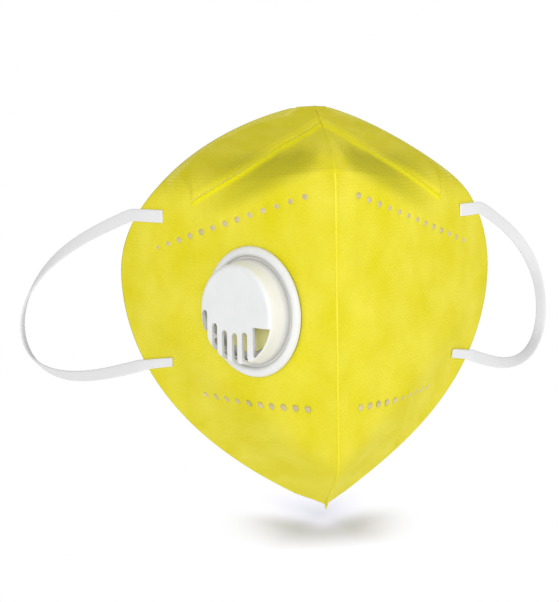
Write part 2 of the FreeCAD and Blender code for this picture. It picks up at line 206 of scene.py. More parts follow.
# ------------------------------------------------------------------ the panel's surface
@dataclass(frozen=True)
class PanelShape:
    """Outer surface of a half panel, on the distance from the seam and the height.

    The sizes are the frame's own, in metres and radians. The last four say how finely the
    surface is measured.
    """

    half_width: float = 76.0 * MM
    nose_height: float = 75.0 * MM
    chin_drop: float = 75.0 * MM
    widest_z: float = 9.8 * MM
    upper_power: float = 0.69
    lower_power: float = 0.62
    tip_angle: float = math.radians(11)
    seam_angle: float = math.radians(44.7)
    cheek_angle: float = math.radians(36.1)
    panel_arc: float = 98.0 * MM
    face_depth: float = 99.0 * MM
    nose_crease_z: float = 55.7 * MM
    nose_crease_fall: float = -0.11
    nose_lean: float = 3.0
    nose_fade: float = 1.3
    chin_crease_z: float = -54.8 * MM
    chin_crease_fall: float = 0.476
    chin_lean: float = 1.9
    chin_fade: float = 0.3
    crease_softness: float = 2.6 * MM
    farthest_share: float = 1.2
    normal_step: float = 0.05 * MM
    measured_arc: float = 14.0 * MM
    height_samples: int = 4000
    rim_samples: int = 6000

    @property
    def turn_rate(self) -> float:
        """Turn of the panel for each metre away from the seam."""
        return (self.cheek_angle - self.seam_angle) / self.panel_arc

    def point(self, arc: Array, z: Array) -> Array:
        """Points of the wearer's left half at distances from the seam and heights.

        Args:
            arc: distance of each point from the seam.
            z: height of each point.

        Returns:
            The points.
        """
        arc, z = np.broadcast_arrays(np.asarray(arc, float), np.asarray(z, float))
        rate = self.turn_rate
        angle = self.seam_angle + rate * arc
        x = (math.cos(self.seam_angle) - np.cos(angle)) / rate
        y = (np.sin(angle) - math.sin(self.seam_angle)) / rate
        out = np.clip(arc / self.panel_arc, 0.0, self.farthest_share)
        over = z - self.nose_crease_z - self.nose_crease_fall * arc
        below = self.chin_crease_z + self.chin_crease_fall * arc - z
        nose = self.nose_lean * soft_ramp(over, self.crease_softness)
        chin = self.chin_lean * soft_ramp(below, self.crease_softness)
        y = y + nose * (1 - (1 - self.nose_fade) * out) + chin * (1 - (1 - self.chin_fade) * out)
        return np.stack([x, y - self.face_depth, z], axis=-1)

    def normal(self, arc: Array, z: Array) -> Array:
        """Outward unit normals at the same points.

        Args:
            arc: distance of each point from the seam.
            z: height of each point.

        Returns:
            One direction for each point.
        """
        step = self.normal_step
        along = self.point(arc + step, z) - self.point(arc - step, z)
        up = self.point(arc, z + step) - self.point(arc, z - step)
        return unit(np.cross(along, up))

    def under(self, arc: Array, z: Array, depth: Array) -> Array:
        """Points at a depth under the surface; a negative depth lies outside it."""
        return self.point(arc, z) - self.normal(arc, z) * np.asarray(depth, float)[..., None]

    def arc_at(self, x: Array) -> Array:
        """Distance from the seam at a distance from the mirror plane."""
        angle = np.arccos(math.cos(self.seam_angle) - self.turn_rate * x)
        return (angle - self.seam_angle) / self.turn_rate

    def edge_arc(self, z: Array) -> Array:
        """Distance from the seam to the outer edge at heights.

        Args:
            z: the heights.

        Returns:
            The distance at each height.
        """
        z = np.asarray(z, float)
        upper = z > self.widest_z
        up, down = self.nose_height - self.widest_z, self.chin_drop + self.widest_z
        reach = np.where(upper, up, down) / math.cos(self.tip_angle)
        share = np.minimum(1.0, np.abs(z - self.widest_z) / reach)
        power = np.where(upper, self.upper_power, self.lower_power)
        return self.arc_at(self.half_width * (1 - share**2) ** power)

    def cloth_run(self, z: Array) -> Array:
        """Length along the cloth near the seam from the first height to each."""
        return run_along(self.point(np.full_like(z, self.measured_arc), z))

    def row_heights(self, count: int) -> Array:
        """Heights of rows that lie evenly along the cloth near the seam.

        Args:
            count: how many rows.

        Returns:
            The heights, chin to nose.
        """
        z = np.linspace(-self.chin_drop, self.nose_height, self.height_samples)
        length = self.cloth_run(z)
        return np.interp(np.linspace(0.0, length[-1], count), length, z)

    def rim(self, count: int = 700) -> tuple[Array, Array]:
        """Distances and heights of points evenly spread along the outer edge, chin to nose.

        Args:
            count: how many points.

        Returns:
            The distances and the heights.
        """
        turn = np.linspace(self.tip_angle, math.pi - self.tip_angle, self.rim_samples)
        rise = -np.cos(turn) / math.cos(self.tip_angle)
        up, down = self.nose_height - self.widest_z, self.chin_drop + self.widest_z
        z = self.widest_z + np.where(rise > 0, rise * up, rise * down)
        z = np.clip(z, -self.chin_drop, self.nose_height)
        arc = self.edge_arc(z)
        length = run_along(self.point(arc, z))
        even = np.linspace(0.0, length[-1], count)
        return np.interp(even, length, arc), np.interp(even, length, z)


PANEL = PanelShape()


def mirrored(points: Array, side: Side) -> Array:
    """The wearer's left points, on the asked side.

    Args:
        points: places on the wearer's left.
        side: the half of the mask.

    Returns:
        The points, mirrored for the wearer's right.
    """
    result = np.array(points, float)
    result[..., 0] *= side.value
    return result


@dataclass(frozen=True)
class WeldRow:
    """A straight row of weld dots on a half panel.

    Attributes:
        z_at_seam: height of the row's line at the seam.
        fall: change of height for each metre away from the seam.
        first: distance of the first dot from the seam.
        pitch: distance between dots.
        count: how many dots.
    """

    z_at_seam: float
    fall: float
    first: float
    pitch: float
    count: int

    def places(self) -> list[tuple[float, float]]:
        """Distance from the seam and height of each dot."""
        arc = self.first + self.pitch * np.arange(self.count)
        return list(zip(arc, self.z_at_seam + self.fall * arc))


UPPER_ROW = WeldRow(46.6 * MM, -0.265, 13.8 * MM, 6.66 * MM, 13)
LOWER_ROW = WeldRow(-31.4 * MM, -0.064, 14.0 * MM, 5.76 * MM, 10)


@dataclass(frozen=True)
class NoseBand:
    """The welded band along the nose edge that holds the nose clip.

    Attributes:
        line_z: height of its weld line at the seam.
        line_fall: change of that height for each metre away from the seam.
        end_arc: distance from the seam at which the band ends.
        end_soft: half the length over which it fades out there.
        end_top: height of the upper end of the crease that closes it.
        end_lean: how far that crease leans outward for each metre up.
        end_width: width of that crease.
        end_fade: length over which the crease fades out.
        end_depth: depth of that crease.
        puff: height of the padded middle.
        puff_edge: distances from the nose edge over which the padding rises.
        puff_line: heights over the weld line over which it rises.
        groove: depth of the weld line.
        groove_width: width of the weld line.
        ridge: height of the rolled cloth under the weld line.
        ridge_place: centre and width of the roll, over the weld line.
        rim_groove: depth of the pressed line along the nose edge.
        rim_place: centre and width of that line, from the nose edge.
        bright_place: centre and width of the bright film, over the weld line.
    """

    line_z: float = 69.3 * MM
    line_fall: float = -0.40
    end_arc: float = 72.0 * MM
    end_soft: float = 1.0 * MM
    end_top: float = 49.0 * MM
    end_lean: float = 0.3
    end_width: float = 0.55 * MM
    end_fade: float = 3.0 * MM
    end_depth: float = 0.7 * MM
    puff: float = 0.5 * MM
    puff_edge: Span = (2.4 * MM, 5.0 * MM)
    puff_line: Span = (0.3 * MM, 2.0 * MM)
    groove: float = 0.5 * MM
    groove_width: float = 0.32 * MM
    ridge: float = 0.45 * MM
    ridge_place: Span = (-1.2 * MM, 0.8 * MM)
    rim_groove: float = 0.15 * MM
    rim_place: Span = (2.6 * MM, 0.5 * MM)
    bright_place: Span = (-1.0 * MM, 1.3 * MM)

    def over_line(self, arc: Array, z: Array) -> Array:
        """Height over the weld line at each point."""
        return z - self.line_z - self.line_fall * arc

    def inside(self, arc: Array) -> Array:
        """1 along the band and 0 past its end."""
        return smoothstep(self.end_arc + self.end_soft, self.end_arc - self.end_soft, arc)

    def end_mask(self, arc: Array, z: Array) -> Array:
        """The short crease that closes the band.

        Args:
            arc: distance of each point from the seam.
            z: height of each point.

        Returns:
            1 in the middle of the crease.
        """
        low = self.line_z + self.line_fall * self.end_arc
        crease = bump_at(arc, self.end_arc + self.end_lean * (z - low), self.end_width)
        lower = smoothstep(low - self.end_fade, low, z)
        return crease * lower * smoothstep(self.end_top + self.end_fade, self.end_top, z)

    def lift(self, rim_gap: Array, arc: Array, z: Array) -> Array:
        """Height that the band adds to the cover at each point.

        Args:
            rim_gap: distance of each point from the outer edge.
            arc: its distance from the seam.
            z: its height.

        Returns:
            The added height.
        """
        over = self.over_line(arc, z)
        swell = smoothstep(*self.puff_edge, rim_gap) * smoothstep(*self.puff_line, over)
        line = bump_at(over, 0.0, self.groove_width)
        roll = bump_at(over, *self.ridge_place)
        rim_line = bump_at(rim_gap, *self.rim_place)
        lift = self.puff * swell - self.groove * line + self.ridge * roll
        lift = lift - self.rim_groove * rim_line
        return lift * self.inside(arc) - self.end_depth * self.end_mask(arc, z)

    def brightness(self, arc: Array, z: Array) -> Array:
        """Where the welded film shows its brighter colour."""
        return bump_at(self.over_line(arc, z), *self.bright_place) * self.inside(arc)


NOSE_BAND = NoseBand()


# ------------------------------------------------------------------ mesh helpers
def new_mesh_object(name: str, points: Array, faces: list) -> Object:
    """Makes a smooth mesh object at the origin.

    Args:
        name: the object's name.
        points: n by 3 places, in metres.
        faces: corner numbers of each face.

    Returns:
        The new object, linked to the scene.
    """
    mesh = bpy.data.meshes.new(name)
    mesh.from_pydata([tuple(p) for p in np.asarray(points, float)], [], [tuple(f) for f in faces])
    mesh.update()
    mesh.polygons.foreach_set("use_smooth", np.ones(len(mesh.polygons), bool))
    return placed(name, mesh)


def placed(name: str, data: bpy.types.ID) -> Object:
    """A new object with this data, linked to the scene.

    Args:
        name: its name.
        data: a mesh, lamp or camera.

    Returns:
        The object.
    """
    result = bpy.data.objects.new(name, data)
    bpy.context.scene.collection.objects.link(result)
    return result


def set_uv(target: Object, uv: Array) -> None:
    """Gives each corner the (u, v) of its vertex, in metres along the cloth.

    Args:
        target: the piece.
        uv: two numbers for each vertex.
    """
    mesh = target.data
    layer = mesh.uv_layers.new(name="cloth")
    corners = np.empty(len(mesh.loops), int)
    mesh.loops.foreach_get("vertex_index", corners)
    layer.data.foreach_set("uv", np.asarray(uv, float)[corners].ravel())


def tube_faces(rings: int, around: int) -> list:
    """Faces of a tube of rings, with caps.

    Args:
        rings: number of cross sections.
        around: points in each section.

    Returns:
        The corner numbers of each face, outward if the sections turn that way.
    """
    faces = []
    for i in range(rings - 1):
        here, ahead = i * around, (i + 1) * around
        for j in range(around):
            k = (j + 1) % around
            faces.append((here + j, here + k, ahead + k, ahead + j))
    faces.append(tuple(reversed(range(around))))
    faces.append(tuple((rings - 1) * around + j for j in range(around)))
    return faces


def face_outwards(target: Object) -> None:
    """Turns a closed mesh's faces outwards.

    Args:
        target: the piece.
    """
    work = bmesh.new()
    work.from_mesh(target.data)
    bmesh.ops.recalc_face_normals(work, faces=work.faces)
    work.to_mesh(target.data)
    work.free()


def dress(target: Object, material: Material) -> None:
    """Puts one material on every slot of a piece.

    Args:
        target: the piece.
        material: its finish.
    """
    if not target.data.materials:
        target.data.materials.append(material)
    for slot in target.material_slots:
        slot.material = material


# ------------------------------------------------------------------ node trees
class NodeBuilder:
    """Adds nodes and links to one tree."""

    def __init__(self, tree: bpy.types.NodeTree) -> None:
        """Keeps the tree."""
        self.tree = tree

    def fill(self, node: Node, inputs: dict) -> None:
        """Gives inputs of a node a value each, or a socket that feeds them.

        Args:
            node: the node.
            inputs: values or sockets, by name or number.
        """
        for key, value in inputs.items():
            if isinstance(value, Socket):
                self.tree.links.new(value, node.inputs[key])
            else:
                node.inputs[key].default_value = value

    def node(self, kind: str, inputs: Optional[dict] = None, **settings: object) -> Node:
        """Adds a node.

        Args:
            kind: the node's type.
            inputs: values or sockets for its inputs, by name or number.
            **settings: its other settings.

        Returns:
            The new node.
        """
        made = self.tree.nodes.new(kind)
        for key, value in settings.items():
            setattr(made, key, value)
        self.fill(made, inputs or {})
        return made

    def math(self, operation: str, *values: object) -> Socket:
        """The result of one operation on sockets or numbers."""
        return self.node("ShaderNodeMath", dict(enumerate(values)), operation=operation).outputs[0]

    def times(self, *values: object) -> Socket:
        """The product of two sockets or numbers."""
        return self.math("MULTIPLY", *values)

    def plus(self, *values: object) -> Socket:
        """The sum of two sockets or numbers."""
        return self.math("ADD", *values)

    def half_wave(self, turns: Socket) -> Socket:
        """A sine that is back at 0 after each whole turn."""
        return self.math("SINE", self.times(turns, math.pi))

    def seen_directly(self) -> Socket:
        """1 for the camera's own rays, also through clear material."""
        rays = self.node("ShaderNodeLightPath").outputs
        return self.math("MAXIMUM", rays["Is Camera Ray"], rays["Is Transmission Ray"])

    def choose(self, factor: Socket, low: Socket, high: Socket) -> Socket:
        """One of two shaders, or a mixture, by a factor."""
        return self.node("ShaderNodeMixShader", {0: factor, 1: low, 2: high}).outputs[0]


class ShaderGroup(NodeBuilder):
    """A node group with named sockets that several materials share."""

    def __init__(self, name: str, inputs: dict, outputs: tuple) -> None:
        """Starts a group.

        Args:
            name: the group's name.
            inputs: default of each input; nothing makes it a vector.
            outputs: names of the values it gives.
        """
        super().__init__(bpy.data.node_groups.new(name, "ShaderNodeTree"))
        face = self.tree.interface
        for label, default in inputs.items():
            kind = "NodeSocketVector" if default is None else "NodeSocketFloat"
            socket = face.new_socket(label, in_out="INPUT", socket_type=kind)
            if default is not None:
                socket.default_value = default
        for label in outputs:
            face.new_socket(label, in_out="OUTPUT", socket_type="NodeSocketFloat")
        self.entry = self.node("NodeGroupInput").outputs
        self.exit = self.node("NodeGroupOutput")


def spunbond_group() -> bpy.types.NodeTree:
    """Point-bonded nonwoven: rows of short pressed dashes with loose fibres between them.

    Returns:
        The group, which gives height, cloud and fibre.
    """
    inputs = {"Coordinates": None, "Pitch": 0.0011, "Fibre Scale": 900.0}
    group = ShaderGroup("spunbond_web", inputs, ("Height", "Cloud", "Fibre"))
    place, pitch = group.entry["Coordinates"], group.entry["Pitch"]
    dash_pitches, row_shift, row_edge, dash_edge = 2.1, 0.5, 1.6, 0.7
    dash_share, fibre_share = 0.6, 0.7
    split = group.node("ShaderNodeSeparateXYZ", {0: place}).outputs
    rows = group.math("DIVIDE", split[1], pitch)
    odd = group.times(group.math("FLOOR", rows), row_shift)
    along = group.plus(group.math("DIVIDE", split[0], group.times(pitch, dash_pitches)), odd)
    row = group.math("POWER", group.half_wave(group.math("FRACT", rows)), row_edge)
    dash = group.math("POWER", group.half_wave(group.math("FRACT", along)), dash_edge)
    fibres = group.node(
        "ShaderNodeTexNoise",
        {
            "Vector": place,
            "Scale": group.entry["Fibre Scale"],
            "Detail": 3.0,
            "Roughness": 0.65,
            "Distortion": 1.2,
        },
    ).outputs["Fac"]
    cloud = group.node("ShaderNodeTexNoise", {"Vector": place, "Scale": 55.0, "Detail": 3.0})
    pressed = group.times(group.times(row, dash), dash_share)
    height = group.plus(pressed, group.times(fibres, fibre_share))
    results = {"Height": height, "Cloud": cloud.outputs["Fac"], "Fibre": fibres}
    group.fill(group.exit, results)
    return group.tree


def knit_group() -> bpy.types.NodeTree:
    """Flat knitted elastic: lengthwise ribs crossed by small stitches.

    Returns:
        The group, which gives height and a painted shade that is darker where the height is low.
    """
    inputs = {"Coordinates": None, "Rib Pitch": 0.0008, "Stitch Pitch": 0.0009}
    group = ShaderGroup("elastic_knit", inputs, ("Height", "Shade"))
    stitch_lean, rib_share, stitch_share, shade_power = 0.6, 0.65, 0.35, 0.5
    split = group.node("ShaderNodeSeparateXYZ", {0: group.entry["Coordinates"]}).outputs
    ribs = group.math("DIVIDE", split[1], group.entry["Rib Pitch"])
    lean = group.plus(split[0], group.times(split[1], stitch_lean))
    stitches = group.math("DIVIDE", lean, group.entry["Stitch Pitch"])
    rib = group.math("ABSOLUTE", group.half_wave(ribs))
    stitch = group.math("ABSOLUTE", group.half_wave(stitches))
    height = group.plus(group.times(rib, rib_share), group.times(stitch, stitch_share))
    group.fill(group.exit, {"Height": height, "Shade": group.math("POWER", height, shade_power)})
    return group.tree


def moulding_group() -> bpy.types.NodeTree:
    """Moulded plastic: faint flow waves, fine grain and a cloud for the gloss.

    Returns:
        The group, which gives height and cloud.
    """
    inputs = {"Coordinates": None, "Grain Scale": 2500.0}
    group = ShaderGroup("moulding", inputs, ("Height", "Cloud"))
    place, grain_share = group.entry["Coordinates"], 0.25
    fine = {"Vector": place, "Scale": group.entry["Grain Scale"], "Detail": 2.0}
    grain = group.node("ShaderNodeTexNoise", fine).outputs["Fac"]
    broad = {"Vector": place, "Scale": 120.0, "Detail": 2.0}
    wave = group.node("ShaderNodeTexNoise", broad).outputs["Fac"]
    height = group.plus(group.times(grain, grain_share), wave)
    group.fill(group.exit, {"Height": height, "Cloud": wave})
    return group.tree


def teeth_group() -> bpy.types.NodeTree:
    """Toothed weld: short bars side by side along an edge.

    Returns:
        The group, which gives a mask.
    """
    inputs = {"Run": 0.0, "Edge": 0.0, "Pitch": 0.0016}
    group = ShaderGroup("toothed_weld", inputs, ("Mask",))
    bar_edge = 1.4
    turns = group.math("DIVIDE", group.entry["Run"], group.entry["Pitch"])
    bars = group.math("POWER", group.math("ABSOLUTE", group.half_wave(turns)), bar_edge)
    group.fill(group.exit, {"Mask": group.times(bars, group.entry["Edge"])})
    return group.tree


class Groups:
    """The shared shader groups, each built once."""

    def __init__(self) -> None:
        """Builds every group."""
        self.spunbond = spunbond_group()
        self.knit = knit_group()
        self.moulding = moulding_group()
        self.teeth = teeth_group()


# ------------------------------------------------------------------ materials
class MaterialMaker(NodeBuilder):
    """Adds nodes to one new material with a Principled shader."""

    RAMP_ENDS = (0.3, 0.7)
    # Reach and samples of the ambient occlusion that lays painted shade in corners.
    CORNER_REACH = 3.0 * MM
    CORNER_SAMPLES = 8

    def __init__(self, name: str) -> None:
        """Starts the material.

        Args:
            name: its name.
        """
        self.material = bpy.data.materials.new(name)
        self.material.use_nodes = True
        super().__init__(self.material.node_tree)
        self.shader = self.tree.nodes["Principled BSDF"]

    def coordinates(self, on_cloth: bool) -> Socket:
        """Coordinates along the cloth, or in the object's own space.

        Args:
            on_cloth: whether the pattern follows the cloth.

        Returns:
            The coordinates.
        """
        if on_cloth:
            return self.node("ShaderNodeUVMap", uv_map="cloth").outputs[0]
        return self.node("ShaderNodeTexCoord").outputs["Object"]

    def group(self, tree: bpy.types.NodeTree, inputs: dict) -> bpy.types.bpy_prop_collection:
        """The outputs of a shared group that is fed with these inputs."""
        return self.node("ShaderNodeGroup", inputs, node_tree=tree).outputs

    def mix(self, factor: Socket, low: Colour, high: Colour) -> Socket:
        """A colour between two, by a factor.

        Args:
            factor: 0 for the first, 1 for the second.
            low: the first colour.
            high: the second colour.

        Returns:
            The colour.
        """
        node = self.node("ShaderNodeValToRGB", {0: factor})
        for stop, place, colour in zip(node.color_ramp.elements, self.RAMP_ENDS, (low, high)):
            stop.position = place
            stop.color = (*colour, 1.0)
        return node.outputs[0]

    def mark(self, label: str) -> Socket:
        """The value of a mesh attribute."""
        return self.node("ShaderNodeAttribute", attribute_name=label).outputs["Fac"]

    def over(self, colour: Socket, mask: Socket, other: Colour) -> Socket:
        """Another colour over one, by a mask."""
        inputs = {"Factor": mask, "A": colour, "B": (*other, 1.0)}
        return self.node("ShaderNodeMix", inputs, data_type="RGBA").outputs["Result"]

    def corners(self, colour: Socket, other: Colour) -> Socket:
        """Painted shade over a colour where faces meet in a corner, from ambient occlusion.

        Args:
            colour: colour of the open faces.
            other: colour of the painted shade in the corners.

        Returns:
            The colour.
        """
        reach = {"Distance": self.CORNER_REACH}
        made = self.node("ShaderNodeAmbientOcclusion", reach, samples=self.CORNER_SAMPLES)
        inputs = {"Factor": made.outputs["AO"], "A": (*other, 1.0), "B": colour}
        return self.node("ShaderNodeMix", inputs, data_type="RGBA").outputs["Result"]

    def bump(self, height: Socket, distance: float, strength: float) -> None:
        """Drives the shader's normal from a height."""
        inputs = {"Distance": distance, "Strength": strength, "Height": height}
        self.fill(self.shader, {"Normal": self.node("ShaderNodeBump", inputs).outputs[0]})

    def roughness(self, factor: Socket, low: float, high: float) -> None:
        """Varies the roughness between two values."""
        inputs = {"To Min": low, "To Max": high, "Value": factor}
        self.fill(self.shader, {"Roughness": self.node("ShaderNodeMapRange", inputs).outputs[0]})


@dataclass(frozen=True)
class NonwovenFinish:
    """A point-bonded nonwoven cloth.

    Attributes:
        name: the material's name.
        low: colour of the thinner web.
        high: colour of the denser web.
        pitch: row distance of the bonding dashes.
        relief: depth of the embossing.
        sheen: soft light at grazing angles.
        bright: colour of a weld line, where the mesh marks one.
        shade: colour of the painted shade under the nose crease, where the mesh marks it.
        tooth: colour of a toothed weld, where the mesh marks one.
        gloss: lowest and highest roughness.
        strength: strength of the relief.
        shine: level of the mirror light.
    """

    name: str
    low: Colour
    high: Colour
    pitch: float
    relief: float
    sheen: float
    bright: Optional[Colour] = None
    # Colour of the painted shade that darkens the cover under the nose crease.
    shade: Optional[Colour] = None
    tooth: Optional[Colour] = None
    gloss: Span = (0.62, 0.85)
    strength: float = 0.55
    shine: float = 0.1

    def make(self, groups: Groups) -> Material:
        """Builds the material.

        Args:
            groups: the shared shader groups.

        Returns:
            The material.
        """
        maker = MaterialMaker(self.name)
        inputs = {"Coordinates": maker.coordinates(True), "Pitch": self.pitch}
        web = maker.group(groups.spunbond, inputs)
        colour, height = maker.mix(web["Cloud"], self.low, self.high), web["Height"]
        # Painted shade laid over the cloth's colour where the mesh marks it.
        if self.shade:
            colour = maker.over(colour, maker.mark("shade"), self.shade)
        if self.bright:
            colour = maker.over(colour, maker.mark("bright"), self.bright)
        if self.tooth:
            inputs = {"Run": maker.mark("run"), "Edge": maker.mark("edge")}
            teeth = maker.group(groups.teeth, inputs)["Mask"]
            colour = maker.over(colour, teeth, self.tooth)
            height = maker.plus(height, teeth)
        maker.roughness(web["Fibre"], *self.gloss)
        maker.bump(height, self.relief, self.strength)
        light = {"Sheen Weight": self.sheen, "Specular IOR Level": self.shine}
        maker.fill(maker.shader, {"Base Color": colour, **light})
        return maker.material


@dataclass(frozen=True)
class KnitFinish:
    """Knitted flat elastic, with painted shade between its ribs and stitches, and a faint relief.
    """

    name: str
    low: Colour
    high: Colour
    relief: float = 0.04 * MM
    strength: float = 0.15
    gloss: Span = (0.6, 0.85)
    sheen: float = 0.2

    def make(self, groups: Groups) -> Material:
        """Builds the material.

        Args:
            groups: the shared shader groups.

        Returns:
            The material.
        """
        maker = MaterialMaker(self.name)
        knit = maker.group(groups.knit, {"Coordinates": maker.coordinates(True)})
        # Painted shade: darker where the knit's relief is low, between ribs and stitches.
        colour = maker.mix(knit["Shade"], self.low, self.high)
        maker.roughness(knit["Height"], *self.gloss)
        maker.bump(knit["Height"], self.relief, self.strength)
        maker.fill(maker.shader, {"Base Color": colour, "Sheen Weight": self.sheen})
        return maker.material


@dataclass(frozen=True)
class MouldedFinish:
    """Moulded plastic, silicone or metal strip.

    Attributes:
        name: the material's name.
        low: colour in the troughs of the cloud.
        high: colour on its crests.
        gloss: lowest and highest roughness.
        metallic: 1 for the aluminium strip.
        through: subsurface weight.
        through_reach: how far each colour of light spreads inside.
        relief: depth of the moulding's waves.
        strength: strength of that relief.
        painted_corner_shade: colour of the painted shade where faces meet in a corner.
    """

    name: str
    low: Colour
    high: Colour
    gloss: Span
    metallic: float = 0.0
    through: float = 0.0
    through_reach: tuple[float, float, float] = (4.0 * MM, 4.0 * MM, 3.5 * MM)
    relief: float = 0.03 * MM
    strength: float = 0.5
    # Colour of the painted shade where faces meet in a corner.
    painted_corner_shade: Optional[Colour] = None

    def make(self, groups: Groups) -> Material:
        """Builds the material.

        Args:
            groups: the shared shader groups.

        Returns:
            The material.
        """
        maker = MaterialMaker(self.name)
        grain = maker.group(groups.moulding, {"Coordinates": maker.coordinates(False)})
        colour = maker.mix(grain["Cloud"], self.low, self.high)
        # Painted shade in the corners, from ambient occlusion.
        if self.painted_corner_shade:
            colour = maker.corners(colour, self.painted_corner_shade)
        maker.roughness(grain["Cloud"], *self.gloss)
        maker.bump(grain["Height"], self.relief, self.strength)
        depth = {"Subsurface Weight": self.through, "Subsurface Radius": self.through_reach}
        maker.fill(maker.shader, {"Base Color": colour, "Metallic": self.metallic, **depth})
        return maker.material


@dataclass(frozen=True)
class FoamFinish:
    """Open-cell foam, with painted shade on its cells' floors and lighter cell walls."""

    name: str
    low: Colour
    high: Colour
    cell_scale: float = 1600.0
    relief: float = 0.5 * MM
    strength: float = 0.8
    gloss: Span = (0.8, 0.98)

    def make(self) -> Material:
        """Builds the material.

        Returns:
            The material.
        """
        maker = MaterialMaker(self.name)
        inputs = {"Scale": self.cell_scale, "Vector": maker.coordinates(False)}
        cells = maker.node("ShaderNodeTexVoronoi", inputs, feature="F1").outputs["Distance"]
        # Painted shade: darker at each cell's middle, where the relief is deepest.
        maker.fill(maker.shader, {"Base Color": maker.mix(cells, self.low, self.high)})
        maker.roughness(cells, *self.gloss)
        maker.bump(cells, self.relief, self.strength)
        return maker.material


YELLOW_COVER = NonwovenFinish(
    "yellow_spunbond",
    low=(0.78, 0.69, 0.012),
    high=(0.86, 0.77, 0.06),
    pitch=1.3 * MM,
    relief=0.3 * MM,
    sheen=0.02,
    bright=(0.90, 0.82, 0.004),
    # painted shade under the nose crease
    shade=(0.55, 0.50, 0.02),
    tooth=(0.90, 0.84, 0.16),
)
PRESSED_EDGE = NonwovenFinish(
    "pressed_yellow", (0.84, 0.78, 0.16), (0.92, 0.87, 0.30), 0.8 * MM, 0.1 * MM, 0.0
)
WHITE_BATTING = NonwovenFinish(
    "cotton_web", (0.80, 0.80, 0.78), (0.88, 0.88, 0.87), 4.0 * MM, 0.4 * MM, 0.5
)
WHITE_FILTER = NonwovenFinish(
    "filter_web", (0.84, 0.84, 0.85), (0.88, 0.88, 0.89), 0.6 * MM, 0.08 * MM, 0.2
)
WHITE_LINING = NonwovenFinish(
    "lining_spunbond", (0.78, 0.78, 0.77), (0.85, 0.85, 0.84), 1.2 * MM, 0.14 * MM, 0.3
)
WELD_DOT = MouldedFinish(
    "pressed_weld_film",
    (0.54, 0.47, 0.24),
    (0.70, 0.60, 0.36),
    gloss=(0.45, 0.6),
    relief=0.05 * MM,
)
WHITE_PLASTIC = MouldedFinish(
    "white_moulding",
    (0.79, 0.80, 0.80),
    (0.83, 0.835, 0.835),
    gloss=(0.28, 0.42),
    through=0.1,
    # painted shade where the moulded faces meet
    painted_corner_shade=(0.36, 0.35, 0.28),
)
SILICONE = MouldedFinish(
    "silicone_disc", (0.88, 0.84, 0.34), (0.93, 0.90, 0.44), gloss=(0.3, 0.5), through=0.3
)
ALUMINIUM = MouldedFinish(
    "aluminium_strip", (0.62, 0.63, 0.64), (0.74, 0.75, 0.76), gloss=(0.32, 0.5), metallic=1.0
)
WHITE_ELASTIC = KnitFinish("knitted_elastic", (0.77, 0.77, 0.78), (0.84, 0.84, 0.845))
FOAM = FoamFinish("grey_foam", (0.18, 0.18, 0.19), (0.42, 0.42, 0.43))


# ------------------------------------------------------------------ the cloth plies
@dataclass(frozen=True)
class PlyStack:
    """Depths of the plies under the outer surface, and how the edge is pressed."""

    cover: float = 0.5 * MM
    clip_space: float = 0.7 * MM
    batting: float = 0.8 * MM
    filter: float = 0.35 * MM
    lining: float = 0.35 * MM
    gap: float = 0.05 * MM
    inner_inset: float = 1.0 * MM
    pressed_share: float = 0.4
    pressed_width: Span = (0.4 * MM, 4.5 * MM)

    def span(self, layer: PlyLayer) -> Span:
        """Top and bottom depth of a ply.

        Args:
            layer: the ply.

        Returns:
            Both depths.
        """
        batting = self.cover + self.clip_space
        filter_top = batting + self.batting + self.gap
        lining_top = filter_top + self.filter + self.gap
        return {
            PlyLayer.COVER: (0.0, self.cover),
            PlyLayer.BATTING: (batting, batting + self.batting),
            PlyLayer.FILTER: (filter_top, filter_top + self.filter),
            PlyLayer.LINING: (lining_top, lining_top + self.lining),
        }[layer]

    @property
    def total(self) -> float:
        """Depth of the innermost face."""
        return self.span(PlyLayer.LINING)[1]

    def pressed(self, rim_gap: Array) -> Array:
        """Share of its depth that a ply keeps at distances from the outer edge."""
        open_share = smoothstep(*self.pressed_width, rim_gap)
        return self.pressed_share + (1 - self.pressed_share) * open_share


STACK = PlyStack()


@dataclass(frozen=True)
class ValveSeatPlace:
    """Where the valve goes through the wearer's right half."""

    arc: float = 39.4 * MM
    z: float = 0.8 * MM
    neck_radius: float = 17.2 * MM
    clearance: float = 0.3 * MM
    rim_width: float = 0.9 * MM
    calm_reach: Span = (21.0 * MM, 34.0 * MM)

    def centre(self) -> Array:
        """Centre of the valve on the outer surface, on the wearer's left."""
        return PANEL.point(self.arc, self.z)

    def axis(self) -> Array:
        """The valve's axis there."""
        return PANEL.normal(np.array(self.arc), np.array(self.z))


VALVE = ValveSeatPlace()


